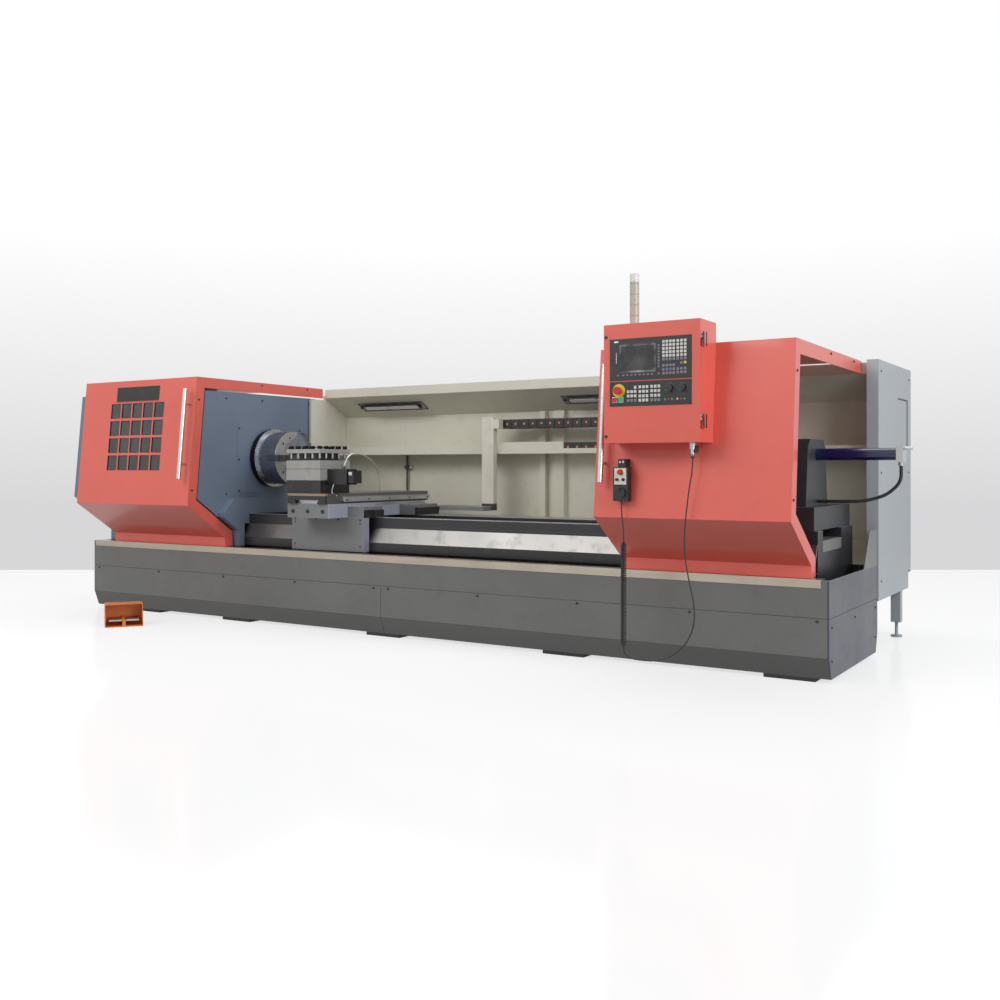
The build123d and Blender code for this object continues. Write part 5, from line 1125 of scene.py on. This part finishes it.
def doorMatrix(station, height):
    # X along the door, Y up its leaning front, Z out of it
    across, up = (doorFront["brow" + way] - doorFront["nose" + way] for way in ("Depth", "Height"))
    rise = Vector((0, across, up)).normalized()
    out = Vector((1, 0, 0)).cross(rise)
    turn = Matrix(((1, rise.x, out.x, 0), (0, rise.y, out.y, 0), (0, rise.z, out.z, 0), (0, 0, 0, 1)))
    return Matrix.Translation(at(station, doorDepth(height), height)) @ turn


def makeDoorTrim():
    form = bmesh.new()
    place = doorMatrix(795.5, 1626.5)
    addBlock(form, (-0.2295, -0.0525, -0.001), (0.2295, 0.0525, 0.0016), 0, 0.0007, place)
    addBlock(form, (-0.2295, -0.0575, -0.001), (0.2295, -0.0545, 0.0012), 1, 0, place)
    for column in range(5):
        for row in range(4):
            x = 515 + 117 * column + 49
            z = 1558 - 126.5 * row - 52.5
            pane = doorMatrix(x, z)
            for near, far in bars((-0.051, -0.0545), (0.051, 0.0545), 0.0035, 0.004):
                addBlock(form, (*near, -0.0055), (*far, 0.0012), 2, 0.0005, pane)
    makePiece("doorTrim", form, "left_door", ("plateBlack", "lineRed", "hingeBlack"))


makeDoorTrim()


# turret motor: flange, connector cover and the short conduit down to the slide
def makeMotorTrim():
    form = bmesh.new()
    for near, far in (((2400.5, -1.5), (2410, 105.5)), ((2560, -0.8), (2567, 104.8))):
        addBlock(form, at(near[0], near[1], 977.6), at(far[0], far[1], 1080.4), 0, 0.0015)
    addBlock(form, at(2574, 8.2, 1040), at(2602, 10.4, 1062), 1, 0.001)
    addBlock(form, at(2607, 34, 1000), at(2613, 70, 1018), 2, 0.001)
    path = nurbsPath([at(2438, 20, 981), at(2430, 16, 955), at(2426, 12, 930), at(2440, 14, 910), at(2458, 30, 903)], 6)
    for before, after in zip(path, path[1:]):
        run = (after - before).length
        rib = [(0, 0), (0, 0.0042), (run * 0.75, 0.0042), (run * 0.85, 0.0036), (run, 0.0036), (run, 0)]
        addTurned(form, before, after - before, rib, 3, 10)
    makePiece("motorTrim", form, "cross_slide", ("motorBlack", "panelWhite", "plasticBlack", "trimSteel"))


makeMotorTrim()


# bright cover strips beside the cross slide, with the long strip on the bridge under them
def makeSlideStrips():
    form = bmesh.new()
    addBlock(form, at(2475.2, 80, 862), at(2477.4, 1050, 889), 0, 0.0006)
    addBlock(form, at(2456, 80, 893), at(2474, 1050, 894.6), 0, 0.0004)
    makePiece("slideStrips", form, "cross_slide", ("trimSteel",))
    form = bmesh.new()
    addBlock(form, at(2470.2, 420, 833), at(2472.2, 1000, 848), 0, 0.0006)
    makePiece("bridgeStrip", form, "carriage", ("trimSteel",))


makeSlideStrips()


# pane in the cabinet's end, with a slim black frame
def makeCabinetPane():
    form = bmesh.new()
    addBlock(form, at(5696.5, 1572, 1222), at(5699.4, 1868, 1524), 0, 0)
    rims = (
        ((1570.5, 1220.5), (1578, 1525.5)), ((1862, 1220.5), (1869.5, 1525.5)),
        ((1578, 1220.5), (1862, 1228)), ((1578, 1518), (1862, 1525.5)),
    )
    for low, high in rims:
        addBlock(form, at(5698.8, *low), at(5702.5, *high), 1, 0.0008)
    makePiece("cabinetPane", form, "machine", ("endPane", "plasticBlack"))


makeCabinetPane()


# screws, one field for each body and size
toRight, toFront = (1, 0, 0), (0, -1, 0)
lipSpots = [(x, 1114, 1638) for x in range(1560, 5600, 405)]
screwFields = (
    ("faceScrews", "machine", [(1394, y, z) for y, z in (
        (182, 1378), (182, 1150), (182, 922), (500, 1378), (818, 1378), (818, 1150), (818, 922))], toRight, 0.014, 0.004),
    ("faceEdgeScrews", "machine", [(1391, y, z) for y, z in (
        (60, 1590), (420, 1590), (930, 1590), (60, 900))],
     toRight, 0.014, 0.004),
    ("endScrews", "machine", [(5700, y, z) for y, z in (
        (52, 281), (520, 281), (988, 281), (52, 110), (988, 110))],
     toRight, 0.012, 0.003),
    ("cabinetScrews", "machine", [(5704, y, z) for y in (1120, 1900) for z in (420, 1060, 1660)],
     toRight, 0.012, 0.003),
    ("flangeScrews", "left_door", [(1400, -205, 1566), (1400, -268, 932), (1400, 408, 1703), (1400, 900, 1703)],
     toRight, 0.014, 0.004),
    ("flangeScrewsRight", "right_door", [
        (5600, -205, 1566), (5600, -268, 932), (5600, 408, 1703), (5600, 900, 1703)],
     toRight, 0.014, 0.004),
    ("stripScrews", "cross_slide", [(2477.4, y, 875.5) for y in (110, 340, 570, 800, 1020)], toRight, 0.011, 0.003),
    ("apronScrews", "carriage", [(x, 122, 740) for x in (2000, 2190, 2390, 2580)], toFront, 0.013, 0.003),
    ("bridgeScrews", "carriage", [(x, -70, 800) for x in (2160, 2290, 2420)], toFront, 0.024, 0.006),
    ("plateScrews", "left_door", [(x, doorDepth(1626.5) - 2.2, 1626.5) for x in (577, 1014)],
     (0, -1, 0.1), 0.008, 0.002),
    ("panelScrews", "box_lid", [(x, -442, z) for x in (4706, 5140) for z in (1541, 1742, 1410, 1523)],
     toFront, 0.006, 0.0015),
    ("hingeScrews", "right_door", [(5207.4, -395, z) for z in (1294, 1346, 1699, 1751)],
     toRight, 0.006, 0.0015),
)
for facts in screwFields:
    screwField(*facts)
screwField("lidHingeScrews", "box_lid", [(x, -438, z) for x in (5195, 5201) for z in (1330, 1348, 1735, 1753)],
           toFront, 0.005, 0.0015, "screwBright")
screwField("lipScrews", "machine", lipSpots, (0, -0.48, -0.88), 0.010, 0.003)


def chuckScrews():
    # socket heads sunk in the chuck's face, set between its jaws
    spots = []
    for sector in range(3):
        turn = math.radians(60 + 120 * sector)
        for radius, aside in ((145, -40), (145, 40), (84.5, 0)):
            y = -math.sin(turn) * radius + math.cos(turn) * aside
            z = math.cos(turn) * radius + math.sin(turn) * aside
            spots.append((1612, 500 + y, 1162 + z))
    return spots


screwField("chuckScrews", "spindle", chuckScrews(), toRight, 0.0165, 0.010)
print("screws set")


# studio: pale floor that ends before the backdrop, soft lamps and a plain world
studio = {"floorReach": 11.4, "worldLevel": 0.44, "floorColor": 0.26, "floorGlow": 0.76, "horizonAt": 0.465, "whiteFrom": 0.70}


def seenDirectly(tree):
    # 1 for camera, mirror and see-through rays, 0 for the light that the surroundings give
    path = addNode(tree, "ShaderNodeLightPath")
    seen = mathStep(tree, "MAXIMUM", path.outputs["Is Camera Ray"], path.outputs["Is Glossy Ray"])
    return mathStep(tree, "MAXIMUM", seen, path.outputs["Is Transmission Ray"])


def makeFloor():
    mesh = bpy.data.meshes.new("floor")
    forward = Vector((-math.sin(math.radians(view["turn"])), math.cos(math.radians(view["turn"])), 0))
    side = Vector((forward.y, -forward.x, 0))
    place = Vector((view["place"][0], view["place"][1], 0))
    corners = []
    for ahead, across in ((-40, -40), (-40, 40), (studio["floorReach"], 40), (studio["floorReach"], -40)):
        corners.append(place + forward * ahead + side * across)
    mesh.from_pydata([tuple(corner) for corner in corners], [], [(0, 1, 2, 3)])
    floor = bpy.data.objects.new("floor", mesh)
    scene.collection.objects.link(floor)
    material, tree, shader = newMaterial("floorPale")
    tree.nodes.remove(shader)
    matt = addNode(tree, "ShaderNodeBsdfDiffuse")
    matt.inputs["Color"].default_value = (studio["floorColor"],) * 3 + (1,)
    gloss = addNode(tree, "ShaderNodeBsdfGlossy")
    gloss.inputs["Roughness"].default_value = 0.12
    gloss.inputs["Color"].default_value = (0.8, 0.8, 0.8, 1)
    glow = addNode(tree, "ShaderNodeEmission")
    seen = seenDirectly(tree)
    tree.links.new(mathStep(tree, "MULTIPLY", seen, studio["floorGlow"]), glow.inputs["Strength"])
    both = addNode(tree, "ShaderNodeAddShader")
    tree.links.new(matt.outputs[0], both.inputs[0])
    tree.links.new(glow.outputs[0], both.inputs[1])
    sheen = addNode(tree, "ShaderNodeMixShader")
    sheen.inputs[0].default_value = 0.10
    tree.links.new(both.outputs[0], sheen.inputs[1])
    tree.links.new(gloss.outputs[0], sheen.inputs[2])
    tree.links.new(sheen.outputs[0], tree.nodes["Material Output"].inputs["Surface"])
    mesh.materials.append(material)


def makeWorld():
    world = bpy.data.worlds.new("studio")
    scene.world = world
    world.use_nodes = True
    tree = world.node_tree
    seen = seenDirectly(tree)
    spot = addNode(tree, "ShaderNodeTexCoord")
    parts = addNode(tree, "ShaderNodeSeparateXYZ")
    tree.links.new(spot.outputs["Generated"], parts.inputs[0])
    ramp = addNode(tree, "ShaderNodeValToRGB")
    ramp.color_ramp.elements[0].position = studio["horizonAt"]
    ramp.color_ramp.elements[0].color = (0.68, 0.68, 0.69, 1)
    ramp.color_ramp.elements[1].position = studio["whiteFrom"]
    ramp.color_ramp.elements[1].color = (1, 1, 1, 1)
    tree.links.new(mathStep(tree, "ADD", parts.outputs["Z"], 0.5), ramp.inputs[0])
    background = tree.nodes["Background"]
    tree.links.new(mixColor(tree, seen, (1, 1, 1), ramp.outputs[0]), background.inputs["Color"])
    level = mathStep(tree, "MULTIPLY", seen, 1 - studio["worldLevel"])
    tree.links.new(mathStep(tree, "ADD", level, studio["worldLevel"]), background.inputs["Strength"])


def softLamp(name, place, target, size, power, color=(1, 1, 1)):
    lamp = bpy.data.objects.new(name, bpy.data.lights.new(name, "AREA"))
    scene.collection.objects.link(lamp)
    lamp.data.shape = "RECTANGLE"
    lamp.data.size, lamp.data.size_y = size
    lamp.data.energy = power
    lamp.data.color = color
    lamp.location = place
    lamp.rotation_euler = (Vector(target) - Vector(place)).to_track_quat("-Z", "Y").to_euler()


makeFloor()
makeWorld()
softLamp("keyLamp", (-2.5, -7.0, 5.5), (0, 0, 0.8), (6, 3), 300)
softLamp("rightLamp", (8.0, -2.5, 3.5), (1, 0, 0.9), (4, 4), 270, (0.86, 0.92, 1.0))
softLamp("topLamp", (0, 1.0, 6.5), (0, 0.3, 0), (8, 3), 200)
print("studio lit")
